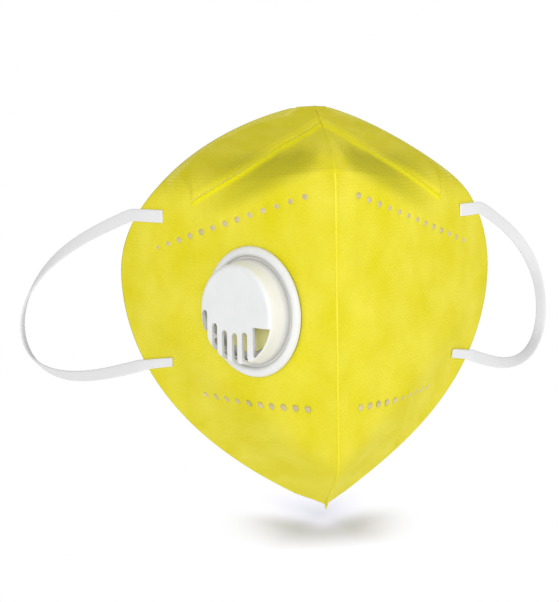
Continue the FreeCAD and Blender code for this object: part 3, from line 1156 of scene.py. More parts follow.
@dataclass(frozen=True)
class ClothRelief:
    """Waves, creases, folds and weld hollows of the cloth over the plain surface.

    Attributes:
        waves: height and size of the broad waves, then of the small ones.
        small_shift: how far the small waves' pattern is moved along the cloth.
        half_shift: how far the pattern is moved on the wearer's right.
        rim_calm: distances from the outer edge over which the waves grow.
        seam_calm: distance from the seam over which they grow.
        inner_share: share of the cover's relief that its inner face takes.
        crease: height, width and drop under the nose crease of the sharp crease.
        crease_reach: distances from the seam over which it fades in.
        folds: place at the crease, lean and height of each soft fold above it.
        fold_rise: height of a fold for each metre over the crease.
        fold_lean: share of the lean that a fold takes.
        fold_width: width of a fold.
        fold_ends: rises over which a fold starts and ends.
        dent: depth and radius of the hollow round a weld dot.
        dent_reach: farthest distance at which the hollow is felt.
    """

    waves: tuple[Span, Span] = ((0.30 * MM, 24.0 * MM), (0.12 * MM, 9.0 * MM))
    small_shift: float = 0.4
    half_shift: float = 0.31
    rim_calm: Span = (1.0 * MM, 9.0 * MM)
    seam_calm: float = 7.0 * MM
    inner_share: float = 0.7
    crease: tuple[float, float, float] = (0.40 * MM, 1.1 * MM, 3.5 * MM)
    crease_reach: Span = (62.0 * MM, 6.0 * MM)
    folds: tuple[tuple[float, float, float], ...] = (
        (6.0 * MM, 0.55, 0.50 * MM),
        (15.0 * MM, 0.90, 0.35 * MM),
        (27.0 * MM, 1.30, 0.28 * MM),
    )
    fold_rise: float = 3.0
    fold_lean: float = 0.25
    fold_width: float = 2.6 * MM
    fold_ends: tuple[Span, Span] = ((0.0, 8.0 * MM), (50.0 * MM, 20.0 * MM))
    dent: Span = (0.42 * MM, 1.5 * MM)
    dent_reach: float = 5.0 * MM

    def wave_height(self, side: Side, arc: Array, along: Array, noise: CloudNoise) -> Array:
        """Height of both sizes of waves.

        Args:
            side: the half of the mask.
            arc: distance of each point from the seam.
            along: length along the cloth to each point.
            noise: the pattern.

        Returns:
            The height at each point.
        """
        across = arc + (self.half_shift if side is Side.RIGHT else 0.0)
        (broad, broad_size), (small, small_size) = self.waves
        ripple = small * noise(across, along + self.small_shift, small_size)
        return broad * noise(across, along, broad_size) + ripple

    def calm(self, side: Side, arc: Array, z: Array, rim_gap: Array) -> Array:
        """Share of the waves that stays near the seam, the outer edge and the valve.

        Args:
            side: the half of the mask.
            arc: distance of each point from the seam.
            z: height of each point.
            rim_gap: distance of each point from the outer edge.

        Returns:
            The share at each point.
        """
        share = smoothstep(*self.rim_calm, rim_gap) * smoothstep(0.0, self.seam_calm, arc)
        if side is Side.RIGHT:
            valve_gap = np.linalg.norm(PANEL.point(arc, z) - VALVE.centre(), axis=-1)
            share = share * smoothstep(*VALVE.calm_reach, valve_gap)
        return share

    def creases(self, arc: Array, z: Array) -> Array:
        """Height of the sharp crease out of the nose corner and the soft folds above it.

        Args:
            arc: distance of each point from the seam.
            z: height of each point.

        Returns:
            The height at each point.
        """
        height, width, drop = self.crease
        line = z - (PANEL.nose_crease_z - drop) - PANEL.nose_crease_fall * arc
        crease = height * bump_at(line, 0.0, width) * smoothstep(*self.crease_reach, arc)
        above = (z - PANEL.nose_crease_z - PANEL.nose_crease_fall * arc) * self.fold_rise
        first, last = self.fold_ends
        window = smoothstep(*first, above) * smoothstep(*last, above)
        for start, lean, fold in self.folds:
            centre = start - above * lean * self.fold_lean
            crease = crease + fold * bump_at(arc, centre, self.fold_width) * window
        return crease

    def dents(self, arc: Array, z: Array) -> Array:
        """Depth, as a negative height, of the hollows around the weld dots.

        Args:
            arc: distance of each point from the seam.
            z: height of each point.

        Returns:
            The height at each point.
        """
        depth, radius = self.dent
        result = np.zeros_like(arc)
        points = PANEL.point(arc, z)
        for dot_arc, dot_z in UPPER_ROW.places() + LOWER_ROW.places():
            near = np.maximum(np.abs(arc - dot_arc), np.abs(z - dot_z)) < self.dent_reach
            gap = np.linalg.norm(points[near] - PANEL.point(dot_arc, dot_z), axis=-1)
            result[near] -= depth * bump_at(gap, 0.0, radius)
        return result


RELIEF = ClothRelief()


@dataclass(frozen=True)
class CoverMarks:
    """Where the cover's colour changes, as values from 0 to 1.

    Attributes:
        shade_low: drop under the nose crease, at the seam, of the painted shade's lower side.
        shade_fall: how fast that side falls away from the seam.
        shade_high: rise over the nose crease of its upper side.
        shade_rise: heights over which the shade comes in, over the lower side.
        shade_end: heights over which it goes out, over the upper side.
        shade_reach: distances from the seam over which it goes out.
        shade_start: distances from the seam over which it comes in.
        tooth_rise: distances from the outer edge over which the teeth come in.
        tooth_end: distances from the outer edge over which they go out.
        tooth_past: how far the teeth go on past the nose band's end.
    """

    shade_low: float = 1.5 * MM
    shade_fall: float = 0.34
    shade_high: float = 2.0 * MM
    shade_rise: Span = (-2.0 * MM, 5.0 * MM)
    shade_end: Span = (6.0 * MM, 0.0)
    shade_reach: Span = (74.0 * MM, 30.0 * MM)
    shade_start: Span = (2.0 * MM, 14.0 * MM)
    tooth_rise: Span = (0.2 * MM, 1.2 * MM)
    tooth_end: Span = (8.0 * MM, 5.5 * MM)
    tooth_past: float = 14.0 * MM

    def values(self, arc: Array, z: Array, rim_gap: Array) -> dict[str, Array]:
        """The weld line, the painted shade under the nose crease and the toothed edge, by attribute
        name.

        Args:
            arc: distance of each point from the seam.
            z: height of each point.
            rim_gap: distance of each point from the outer edge.

        Returns:
            The values at each point, for each name.
        """
        # Painted shade: a darker wedge over a line that falls away from the seam, up to just over
        # the nose crease.
        under = z - (PANEL.nose_crease_z - self.shade_low) + self.shade_fall * arc
        over = z - (PANEL.nose_crease_z + self.shade_high) - PANEL.nose_crease_fall * arc
        shade = smoothstep(*self.shade_rise, under) * smoothstep(*self.shade_end, over)
        shade = shade * smoothstep(*self.shade_reach, arc) * smoothstep(*self.shade_start, arc)
        edge = smoothstep(*self.tooth_rise, rim_gap) * smoothstep(*self.tooth_end, rim_gap)
        edge = edge * NOSE_BAND.inside(arc - self.tooth_past) * (z > PANEL.widest_z)
        bright = np.clip(NOSE_BAND.brightness(arc, z), 0.0, 1.0)
        return {"bright": bright, "shade": shade, "edge": edge}


MARKS = CoverMarks()


@dataclass(frozen=True)
class Sheet:
    """One face of a ply: its grid, and where each point lies on the cloth."""

    arc: Array
    points: Array
    rim_gap: Array
    run: Array


@dataclass
class ClothPly:
    """One ply of one half panel, as a closed sheet of two faces.

    Attributes:
        layer: which ply.
        side: which half.
        columns: grid points from the seam to the edge.
        rows: grid points from the chin to the nose.
        noise: unevenness of the cloth.
    """

    layer: PlyLayer
    side: Side
    columns: int = 136
    rows: int = 340
    noise: CloudNoise = field(default_factory=CloudNoise)

    def build(self) -> Object:
        """Builds the ply's mesh, with its cloth coordinates.

        Returns:
            The ply.
        """
        z = np.repeat(PANEL.row_heights(self.rows)[:, None], self.columns, axis=1)
        along = np.repeat(PANEL.cloth_run(z[:, 0])[:, None], self.columns, axis=1)
        sheets = [self._sheet(z, along, depth) for depth in STACK.span(self.layer)]
        faces = self._faces(self._kept_faces(sheets[0].arc, z, sheets))
        if self.side is Side.RIGHT:
            faces = [face[::-1] for face in faces]
        used = np.unique(np.concatenate([np.asarray(face) for face in faces]))

        def kept(values: list[Array]) -> Array:
            """The values of the points that the faces use."""
            return np.concatenate([value.ravel() for value in values])[used]

        number = np.full(2 * z.size, -1)
        number[used] = np.arange(len(used))
        faces = [tuple(int(number[corner]) for corner in face) for face in faces]
        points = np.concatenate([sheet.points.reshape(-1, 3) for sheet in sheets])[used]
        name = "cloth_" + self.layer.value + "_" + self.side.label
        result = new_mesh_object(name, mirrored(points, self.side), faces)
        arc = kept([sheet.arc for sheet in sheets])
        set_uv(result, np.stack([arc, kept([along, along])], axis=-1))
        if self.layer is PlyLayer.COVER:
            values = MARKS.values(arc, kept([z, z]), kept([sheet.rim_gap for sheet in sheets]))
            values["run"] = kept([sheet.run for sheet in sheets])
            for label, value in values.items():
                layer = result.data.attributes.new(label, "FLOAT", "POINT")
                layer.data.foreach_set("value", np.asarray(value, np.float32))
        return result

    def _sheet(self, z: Array, along: Array, depth: float) -> Sheet:
        """One face of the ply.

        Args:
            z: height of each grid point.
            along: length along the cloth to it.
            depth: the face's depth under the outer surface.

        Returns:
            The face.
        """
        inset = 0.0 if self.layer is PlyLayer.COVER else STACK.inner_inset
        start = self._seam_start(z, depth)
        share = np.linspace(0.0, 1.0, self.columns)[None, :]
        arc = start + (PANEL.edge_arc(z) - inset - start) * share
        rim_gap, run = self._to_rim(arc, z)
        lift = RELIEF.wave_height(self.side, arc, along, self.noise)
        lift = lift * RELIEF.calm(self.side, arc, z, rim_gap)
        if self.layer is PlyLayer.COVER:
            felt = 1.0 if depth == 0.0 else RELIEF.inner_share
            relief = (NOSE_BAND.lift(rim_gap, arc, z), RELIEF.creases(arc, z), RELIEF.dents(arc, z))
            for height in relief:
                lift = lift + felt * height
        points = PANEL.under(arc, z, depth * STACK.pressed(rim_gap) - lift)
        return Sheet(arc, points, rim_gap, run)

    def _seam_start(self, z: Array, depth: float) -> Array:
        """Distance from the seam at which a depth meets the mirror plane.

        Args:
            z: height of each point.
            depth: the depth under the outer surface.

        Returns:
            The distance at each point.
        """
        start = np.zeros_like(z)
        for _ in range(3):
            beyond = PANEL.under(start, z, np.full_like(z, depth))[..., 0]
            start = start - beyond / math.sin(PANEL.seam_angle)
        return start

    def _to_rim(self, arc: Array, z: Array) -> tuple[Array, Array]:
        """Distance of each point from the outer edge, and the run along the edge to there.

        Args:
            arc: distance of each point from the seam.
            z: height of each point.

        Returns:
            The distances and the runs.
        """
        rim = PANEL.point(*PANEL.rim())
        tree = KDTree(len(rim))
        for i, place in enumerate(rim):
            tree.insert(place, i)
        tree.balance()
        found = [tree.find(place)[1:] for place in PANEL.point(arc, z).reshape(-1, 3)]
        gap = np.array([distance for _, distance in found])
        run = run_along(rim)[[index for index, _ in found]]
        return gap.reshape(arc.shape), run.reshape(arc.shape)

    def _kept_faces(self, arc: Array, z: Array, sheets: list[Sheet]) -> Array:
        """Which grid faces stay; the neck's hole is opened and its edge made round.

        Args:
            arc: distance of each grid point from the seam.
            z: its height.
            sheets: both faces, whose points round the hole are moved.

        Returns:
            Whether each grid face stays.
        """
        keep = np.ones((self.rows - 1, self.columns - 1), bool)
        if self.side is Side.LEFT:
            return keep
        axis = VALVE.axis()
        radius = VALVE.neck_radius + VALVE.clearance
        offset = PANEL.point(arc, z) - VALVE.centre()
        flat = offset - (offset @ axis)[..., None] * axis
        distance = np.linalg.norm(flat, axis=-1)
        inside = distance < radius + VALVE.rim_width
        keep = ~(inside[:-1, :-1] | inside[1:, :-1] | inside[:-1, 1:] | inside[1:, 1:])
        ring = np.zeros_like(inside)
        for row, column in ((0, 0), (1, 0), (0, 1), (1, 1)):
            ring[row : row + keep.shape[0], column : column + keep.shape[1]] |= ~keep
        ring &= ~inside
        outward = flat[ring] / distance[ring][:, None]
        for sheet in sheets:
            sheet.points[ring] += (radius - distance[ring])[:, None] * outward
        return keep

    def _faces(self, keep: Array) -> list:
        """Faces of both sheets and the walls that join their open edges.

        Args:
            keep: whether each grid face stays.

        Returns:
            The corner numbers of each face.
        """
        columns, total = self.columns, self.rows * self.columns
        faces = []
        borders: dict = {}
        for i, j in np.argwhere(keep):
            a = int(i * columns + j)
            quad = (a, a + 1, a + columns + 1, a + columns)
            faces.append(quad)
            faces.append(tuple(total + c for c in reversed(quad)))
            for k in range(4):
                edge = (quad[k], quad[(k + 1) % 4])
                if edge[::-1] in borders:
                    del borders[edge[::-1]]
                else:
                    borders[edge] = True
        for a, b in borders:
            faces.append((b, a, a + total, b + total))
        return faces


# ------------------------------------------------------------------ small repeats on the cloth
class RepeatTree:
    """Geometry Nodes that put a small rounded pad on every point of a mesh.

    The points carry a "turn" attribute, the pad's rotation as Euler angles.
    """

    SIZES = ("Length", "Width", "Height")
    PAD = {"Segments": 10, "Rings": 6, "Radius": 0.5}

    def __init__(self, name: str, size: tuple[float, float, float], material: Material) -> None:
        """Builds the tree.

        Args:
            name: name of the tree.
            size: length, width and height of the pad.
            material: its finish.
        """
        self.size = size
        build = NodeBuilder(bpy.data.node_groups.new(name, "GeometryNodeTree"))
        self.tree = build.tree
        face, mesh = self.tree.interface, "NodeSocketGeometry"
        face.new_socket("Geometry", in_out="INPUT", socket_type=mesh)
        sockets = [
            face.new_socket(label, in_out="INPUT", socket_type="NodeSocketFloat")
            for label in self.SIZES
        ]
        self.sockets = [socket.identifier for socket in sockets]
        face.new_socket("Geometry", in_out="OUTPUT", socket_type=mesh)
        entry = build.node("NodeGroupInput").outputs
        lengths = {place: entry[label] for place, label in enumerate(self.SIZES)}
        scale = build.node("ShaderNodeCombineXYZ", lengths).outputs[0]
        pad = build.node("GeometryNodeMeshUVSphere", self.PAD).outputs["Mesh"]
        smooth = build.node("GeometryNodeSetShadeSmooth", {"Geometry": pad}).outputs["Geometry"]
        turn = build.node("GeometryNodeInputNamedAttribute", data_type="FLOAT_VECTOR")
        build.fill(turn, {"Name": "turn"})
        spread = build.node(
            "GeometryNodeInstanceOnPoints",
            {
                "Points": entry["Geometry"],
                "Instance": smooth,
                "Rotation": turn.outputs["Attribute"],
                "Scale": scale,
            },
        ).outputs["Instances"]
        real = build.node("GeometryNodeRealizeInstances", {"Geometry": spread}).outputs["Geometry"]
        finish = build.node("GeometryNodeSetMaterial", {"Geometry": real, "Material": material})
        build.node("NodeGroupOutput", {"Geometry": finish.outputs["Geometry"]})

    def build(self, name: str, points: Array, turns: list) -> Object:
        """Places the pads and bakes them into one plain mesh.

        Args:
            name: the piece's name.
            points: where the pads go.
            turns: their Euler angles.

        Returns:
            The finished piece.
        """
        seeds = new_mesh_object(name + "_seeds", points, [])
        spin = seeds.data.attributes.new("turn", "FLOAT_VECTOR", "POINT")
        spin.data.foreach_set("vector", np.asarray(turns, float).ravel())
        modifier = seeds.modifiers.new("pads", "NODES")
        modifier.node_group = self.tree
        for socket, value in zip(self.sockets, self.size):
            modifier[socket] = value
        graph = bpy.context.evaluated_depsgraph_get()
        mesh = bpy.data.meshes.new_from_object(seeds.evaluated_get(graph))
        seeds.modifiers.remove(modifier)
        bpy.data.objects.remove(seeds)
        mesh.name = name
        return placed(name, mesh)


def surface_turn(arc: float, z: float, direction: Array, side: Side) -> tuple:
    """Euler angles of a pad that lies on the panel.

    Args:
        arc: distance from the seam.
        z: height.
        direction: the pad's long direction, on the wearer's left.
        side: the half it goes on.

    Returns:
        The three angles.
    """
    normal = mirrored(PANEL.normal(np.array(arc), np.array(z)), side)
    along = mirrored(direction, side)
    x = Vector(along - normal * float(along @ normal)).normalized()
    up = Vector(normal)
    return tuple(Matrix((x, up.cross(x), up)).transposed().to_euler())


@dataclass
class WeldMarks:
    """The weld dots and the dotted weld line of both halves.

    Attributes:
        dot_size: length, width and height of a dot.
        dot_lean: how much steeper than its row a dot lies.
        depth: depth of a mark's middle under the surface.
        point_size: length, width and height of a point of the weld line.
        point_pitch: distance between these points.
        first_point: distance of the first point from the seam.
    """

    dot_size: tuple[float, float, float] = (3.0 * MM, 2.3 * MM, 0.5 * MM)
    dot_lean: float = 0.5
    depth: float = 0.21 * MM
    point_size: tuple[float, float, float] = (0.6 * MM, 1.2 * MM, 0.5 * MM)
    point_pitch: float = 1.305 * MM
    first_point: float = 0.8 * MM

    def build(self, dot_film: Material, pressed: Material) -> list[Object]:
        """Builds every row of marks, each row one piece a half.

        Args:
            dot_film: finish of the dots.
            pressed: finish of the weld line's points.

        Returns:
            The pieces.
        """
        dots = RepeatTree("weld_dots", self.dot_size, dot_film)
        points = RepeatTree("weld_points", self.point_size, pressed)
        arcs = np.arange(self.first_point, NOSE_BAND.end_arc, self.point_pitch)
        line = [(arc, NOSE_BAND.line_z + NOSE_BAND.line_fall * arc) for arc in arcs]
        made = []
        for side in Side:
            for label, row in (("upper", UPPER_ROW), ("lower", LOWER_ROW)):
                places, turns = self._row(row.places(), row.fall + self.dot_lean, side)
                name = label + "_weld_dots_" + side.label
                made.append(dots.build(name, places, turns))
            places, turns = self._row(line, NOSE_BAND.line_fall, side)
            made.append(points.build("nose_weld_line_" + side.label, places, turns))
        return made

    def _row(self, line: list, climb: float, side: Side) -> tuple[Array, list]:
        """Places and Euler angles of pads along a line.

        Args:
            line: distance from the seam and height of each pad.
            climb: climb of a pad's long direction for each metre outward.
            side: the half of the mask.

        Returns:
            The places and the angles.
        """
        places, turns = [], []
        for arc, z in line:
            ahead = PANEL.point(arc + 1 * MM, z + climb * MM) - PANEL.point(arc, z)
            places.append(mirrored(PANEL.under(arc, z, self.depth), side))
            turns.append(surface_turn(arc, z, ahead, side))
        return np.array(places), turns


# ------------------------------------------------------------------ seam, foam and loops
@dataclass
class FrontSeam:
    """The welded ridge that joins the two halves, with its small tail under the chin.

    Attributes:
        half_width: half the ridge's width.
        height: height of the ridge.
        tail: height of the tail at the chin.
        tail_ends: shares of the seam over which the tail comes in.
        tip: extra height at the nose.
        tip_ends: shares of the seam over which that comes in.
        root: depth of the ridge's foot in the cloth.
        stations: cross sections along the seam.
        profile: the cross section, in half widths and heights.
        uv_step: how far the cloth pattern moves for each section.
        uv_shift: where on the pattern the ridge lies.
    """

    half_width: float = 0.4 * MM
    height: float = 0.07 * MM
    tail: float = 1.9 * MM
    tail_ends: Span = (0.06, 0.0)
    tip: float = 0.5 * MM
    tip_ends: Span = (0.975, 1.0)
    root: float = 0.6 * MM
    stations: int = 320
    profile: tuple[Span, ...] = (
        (-1.0, -0.9),
        (-0.92, 0.2),
        (-0.5, 0.85),
        (0.0, 1.0),
        (0.5, 0.85),
        (0.92, 0.2),
        (1.0, -0.9),
    )
    uv_step: float = 0.7 * MM
    uv_shift: float = 10.0 * MM

    def build(self) -> Object:
        """Builds the ridge as a closed bar along the seam.

        Returns:
            The ridge.
        """
        z = PANEL.row_heights(self.stations)
        base = PANEL.point(np.zeros_like(z), z)
        normal = PANEL.normal(np.zeros_like(z), z)
        normal[:, 0] = 0.0
        normal = unit(normal)
        run = np.linspace(0.0, 1.0, self.stations)
        proud = self.height + (self.tail - self.height) * smoothstep(*self.tail_ends, run)
        proud = proud + self.tip * smoothstep(*self.tip_ends, run)
        rings, uv = [], []
        for i in range(self.stations):
            for across, up in self.profile:
                level = up * (proud[i] if up > 0 else self.root)
                offset = np.array([across * self.half_width, 0.0, 0.0])
                rings.append(base[i] + offset + normal[i] * level)
                uv.append((rings[-1][0] + self.uv_shift, i * self.uv_step))
        faces = tube_faces(self.stations, len(self.profile))
        result = new_mesh_object("front_seam", np.array(rings), faces)
        face_outwards(result)
        set_uv(result, np.array(uv))
        return result


@dataclass
class NoseFoam:
    """The soft strip inside the nose, with rounded edges.

    Attributes:
        width: width of the strip.
        thickness: its thickness.
        inset: distance from the nose edge to the strip.
        gap: distance to the lining.
        stations: cross sections along the strip.
        around: points in each section.
        squareness: powers that square the section, over its width and its thickness.
        thin_ends: shares of the half length over which the end thins.
        thin_share: how much of the thickness the end loses.
        line_step: step by which its edges are found over the surface.
        line_past: how far past the nose band's end they are followed.
        line_first: distance from the seam at which they start.
        line_points: points of the outer edge that they start from.
        slope_step: step by which the surface's slope is measured.
    """

    width: float = 10.0 * MM
    thickness: float = 3.0 * MM
    inset: float = 3.0 * MM
    gap: float = 0.1 * MM
    stations: int = 90
    around: int = 16
    squareness: Span = (0.45, 0.6)
    thin_ends: Span = (0.97, 1.0)
    thin_share: float = 0.35
    line_step: float = 0.5 * MM
    line_past: float = 8.0 * MM
    line_first: float = 0.2 * MM
    line_points: int = 900
    slope_step: float = 0.1 * MM

    def build(self, node_box: tuple) -> Object:
        """Builds the strip under the lining, over both halves.

        Args:
            node_box: lowest and highest corner of the strip in the frame.

        Returns:
            The strip.
        """
        reach = PANEL.arc_at(float(node_box[1][0]))
        outer = self._inner_line(self.inset)
        inner = self._inner_line(self.inset + self.width)
        rings = []
        for share in np.linspace(-1.0, 1.0, self.stations):
            side = Side.LEFT if share >= 0 else Side.RIGHT
            arc = abs(share) * reach
            high, low = np.interp(arc, *outer), np.interp(arc, *inner)
            thick = 1.0 - self.thin_share * float(smoothstep(*self.thin_ends, abs(share)))
            for turn in 2 * math.pi * np.arange(self.around) / self.around:
                u = 0.5 + 0.5 * signed_power(math.cos(turn), self.squareness[0])
                v = 0.5 + 0.5 * signed_power(math.sin(turn), self.squareness[1])
                depth = STACK.total + self.gap + self.thickness * thick * v
                point = PANEL.under(arc, low + (high - low) * u, depth)
                point[0] = max(point[0], 0.0)
                rings.append(mirrored(point, side))
        faces = tube_faces(self.stations, self.around)
        result = new_mesh_object("soft_nose_foam", np.array(rings), faces)
        face_outwards(result)
        return result

    def _inner_line(self, gap: float) -> tuple[Array, Array]:
        """The line at a distance inside the nose edge, from the seam to the band's end.

        Args:
            gap: the distance.

        Returns:
            Distances from the seam and heights of the line.
        """
        arc, z = PANEL.rim(self.line_points)
        upper = (z > PANEL.widest_z) & (arc < NOSE_BAND.end_arc + self.line_past)
        arc, z = arc[upper][::-1], z[upper][::-1]
        ahead = unit(np.gradient(PANEL.point(arc, z), axis=0))
        inward = np.cross(ahead, PANEL.normal(arc, z)) * self.line_step
        for _ in range(round(gap / self.line_step)):
            arc, z = self._moved(arc, z, inward)
        good = (arc > self.line_first) & (arc < NOSE_BAND.end_arc)
        return arc[good], z[good]

    def _moved(self, arc: Array, z: Array, offset: Array) -> tuple[Array, Array]:
        """Points of a line over the surface after a small move along it.

        Args:
            arc: distance of each point from the seam.
            z: its height.
            offset: the move in space.

        Returns:
            The new distances and heights.
        """
        small = self.slope_step
        here = PANEL.point(arc, z)
        d_arc = (PANEL.point(arc + small, z) - here) / small
        d_z = (PANEL.point(arc, z + small) - here) / small
        aa, ab, bb = (d_arc**2).sum(-1), (d_arc * d_z).sum(-1), (d_z**2).sum(-1)
        ga, gb = (offset * d_arc).sum(-1), (offset * d_z).sum(-1)
        det = aa * bb - ab**2
        return arc + (ga * bb - gb * ab) / det, z + (gb * aa - ga * ab) / det


@dataclass
class EarLoop:
    """One flat elastic band, welded to the cover at both ends.

    Attributes:
        side: the wearer's ear.
        width: width of the band.
        thickness: thickness of the band.
        tab_length: welded length at each end.
        tab_lift: gap between a tab's under face and the cover.
        reach: how far the loop stands out past its bends.
        droop: how far it sags at its far end.
        splay: the loop's plane against straight back.
        roundness: 1 for an ellipse, less for a squarer loop.
        upper_z: height of the upper tab at its bend.
        lower_z: height of the lower tab at its bend.
        start: how far the bends lie inside the panel's edge line.
        lower_lean: rise of the lower tab for each metre inward.
        soft_bend: length over which the band rounds each bend.
        smooth_rows: half the rows over which the rounding reaches.
        twist: how far the band has turned over at its far end.
        twist_ramp: how fast the turn comes in, as a factor and a power.
        blend_length: length past the hinge over which it bends.
        tab_rows: measured sections of a welded end.
        free_rows: measured sections of the free band.
        rows: sections of the mesh.
        around: points in each section.
        squareness: powers that square the section, over its width and its thickness.
        press_share: thickness that is left at the very end of a tab.
        press_reach: share of the tab over which it grows back.
        tangent_step: share of the loop over which its direction is measured.
    """

    side: Side
    width: float = 5.0 * MM
    thickness: float = 1.2 * MM
    tab_length: float = 21.0 * MM
    tab_lift: float = 0.05 * MM
    reach: float = 108.0 * MM
    droop: float = 37.0 * MM
    splay: float = math.radians(31.5)
    roundness: float = 0.68
    upper_z: float = 34.0 * MM
    lower_z: float = -28.0 * MM
    start: float = 3.2 * MM
    lower_lean: float = 0.2
    soft_bend: float = 8.0 * MM
    smooth_rows: int = 10
    twist: float = math.radians(90.0)
    twist_ramp: Span = (1.12, 1.5)
    blend_length: float = 20.0 * MM
    tab_rows: int = 14
    free_rows: int = 150
    rows: int = 420
    around: int = 20
    squareness: Span = (0.55, 0.7)
    press_share: float = 0.55
    press_reach: float = 0.75
    tangent_step: float = 0.004

    def __post_init__(self) -> None:
        """Works out the bend line and the loop's directions."""
        self.upper = self._anchor(self.upper_z)
        self.lower = self._anchor(self.lower_z)
        self.middle = (self.upper + self.lower) / 2
        self.line = unit(self.upper - self.lower)
        along = np.array([math.sin(self.splay), math.cos(self.splay), 0.0])
        self.outward = unit(along - self.line * (along @ self.line))
        self.normal = np.cross(self.line, self.outward)

    def _bend_arc(self, z: float) -> float:
        """Distance of the bend line from the seam at a height."""
        return float(PANEL.edge_arc(z)) + self.start

    def _on_cover(self, arc: float, z: float) -> Array:
        """Middle of a band that lies on the cover."""
        return PANEL.under(arc, z, -(self.tab_lift + self.thickness / 2))

    def _anchor(self, z: float) -> Array:
        """Point of the bend line at a height."""
        return self._on_cover(self._bend_arc(z), z)

    def _station(self, share: float) -> Array:
        """Centre of the free band at a share of its way round.

        Args:
            share: share of the way round the loop.

        Returns:
            The centre.
        """
        turn = math.pi * share
        half = np.linalg.norm(self.upper - self.lower) / 2
        swell = max(0.0, math.sin(turn)) ** self.roundness
        fall = half * math.cos(turn) - self.droop * swell
        return self.middle + self.outward * (self.reach * swell) + self.line * fall

    def _directions(self, share: float) -> tuple[Array, Array]:
        """Width and thickness directions of the free band.

        Args:
            share: share of the way round the loop.

        Returns:
            Both directions.
        """
        step = self.tangent_step
        ahead, behind = min(1.0, share + step), max(0.0, share - step)
        tangent = unit(self._station(ahead) - self._station(behind))
        flat = unit(np.cross(self.normal, tangent))
        factor, power = self.twist_ramp
        ramp = min(1.0, max(0.0, math.sin(math.pi * share)) * factor)
        angle = self.twist * ramp**power
        wide = flat * math.cos(angle) + self.normal * math.sin(angle)
        return wide, np.cross(tangent, wide)

    def _tab_stations(self, z: float) -> list[tuple[Array, Array, Array]]:
        """Centre, width and thickness directions along a welded end, towards its bend.

        Args:
            z: height of the welded end at its bend.

        Returns:
            The three for each measured section.
        """
        end = self._bend_arc(z)
        lean = self.lower_lean if z < 0 else 0.0
        result = []
        for share in np.linspace(0.0, 1.0, self.tab_rows):
            back = self.tab_length * (1 - share)
            arc, at = end - back, z + lean * back
            up = unit(PANEL.point(arc, at + 1 * MM) - PANEL.point(arc, at - 1 * MM))
            result.append((self._on_cover(arc, at), up, PANEL.normal(arc, at)))
        return result

    def _sections(self) -> tuple[Array, Array, Array, Array]:
        """Lengths along the band, and its centre, width and thickness directions there.

        Returns:
            The lengths, and the three at each length.
        """
        stations = self._tab_stations(self.upper_z)
        for i in range(1, self.free_rows):
            share = (1 - math.cos(math.pi * i / self.free_rows)) / 2
            stations.append((self._station(share), *self._directions(share)))
        last = reversed(self._tab_stations(self.lower_z))
        stations += [(centre, -wide, thick) for centre, wide, thick in last]
        centres, wide, thick = (np.array(values) for values in zip(*stations))
        for rows in (wide, thick):
            for i in range(1, len(rows)):
                if rows[i] @ rows[i - 1] < 0:
                    rows[i] *= -1
        length = run_along(centres)
        even = np.linspace(0.0, length[-1], self.rows)
        measured = (centres, wide, thick)
        centres, wide, thick = (self._rounded(length, rows, even) for rows in measured)
        wide = unit(wide)
        thick = unit(thick - wide * (thick * wide).sum(-1, keepdims=True))
        return even, centres, wide, thick

    def _rounded(self, length: Array, rows: Array, even: Array) -> Array:
        """Rows at even lengths, rounded over both bends.

        Args:
            length: length along the band to each measured row.
            rows: the measured rows.
            even: the lengths that are asked for.

        Returns:
            The rows there.
        """
        result = np.stack([np.interp(even, length, rows[:, k]) for k in range(3)], axis=-1)
        kernel = np.hanning(2 * self.smooth_rows + 1)[1:-1]
        kernel = kernel / kernel.sum()
        ends = self.smooth_rows - 1
        padded = np.pad(result, ((ends, ends), (0, 0)), mode="edge")
        smooth = np.stack([np.convolve(padded[:, k], kernel, "valid") for k in range(3)], axis=-1)
        last_bend = length[-1] - self.tab_length
        to_bend = np.minimum(np.abs(even - self.tab_length), np.abs(even - last_bend))
        weight = bump_at(to_bend, 0.0, self.soft_bend)[:, None]
        return result * (1 - weight) + smooth * weight

    def build(self) -> Object:
        """Builds the whole band with rounded faces, pressed flatter at its welded ends.

        Returns:
            The band.
        """
        even, centres, wide, thick = self._sections()
        half_width, half_thick = self.width / 2, self.thickness / 2
        rings, uv = [], []
        for i, run in enumerate(even):
            end = min(run, even[-1] - run)
            grown = float(smoothstep(0.0, self.tab_length * self.press_reach, end))
            press = self.press_share + (1 - self.press_share) * grown
            for turn in 2 * math.pi * np.arange(self.around) / self.around:
                across = signed_power(math.cos(turn), self.squareness[0]) * half_width
                up = signed_power(math.sin(turn), self.squareness[1])
                level = up * press * half_thick - (1 - press) * half_thick
                rings.append(centres[i] + wide[i] * across + thick[i] * level)
                uv.append((run, across))
        name = "elastic_band_" + self.side.label
        faces = tube_faces(self.rows, self.around)
        result = new_mesh_object(name, mirrored(np.array(rings), self.side), faces)
        face_outwards(result)
        set_uv(result, np.array(uv))
        return result

    def bend_ends(self) -> tuple[tuple, tuple]:
        """Start and end of the stretch over which the band bends.

        Returns:
            The two points.
        """
        ends = (self.middle, self.middle + self.outward * self.blend_length)
        start, finish = (mirrored(end, self.side) for end in ends)
        return tuple(float(c) for c in start), tuple(float(c) for c in finish)


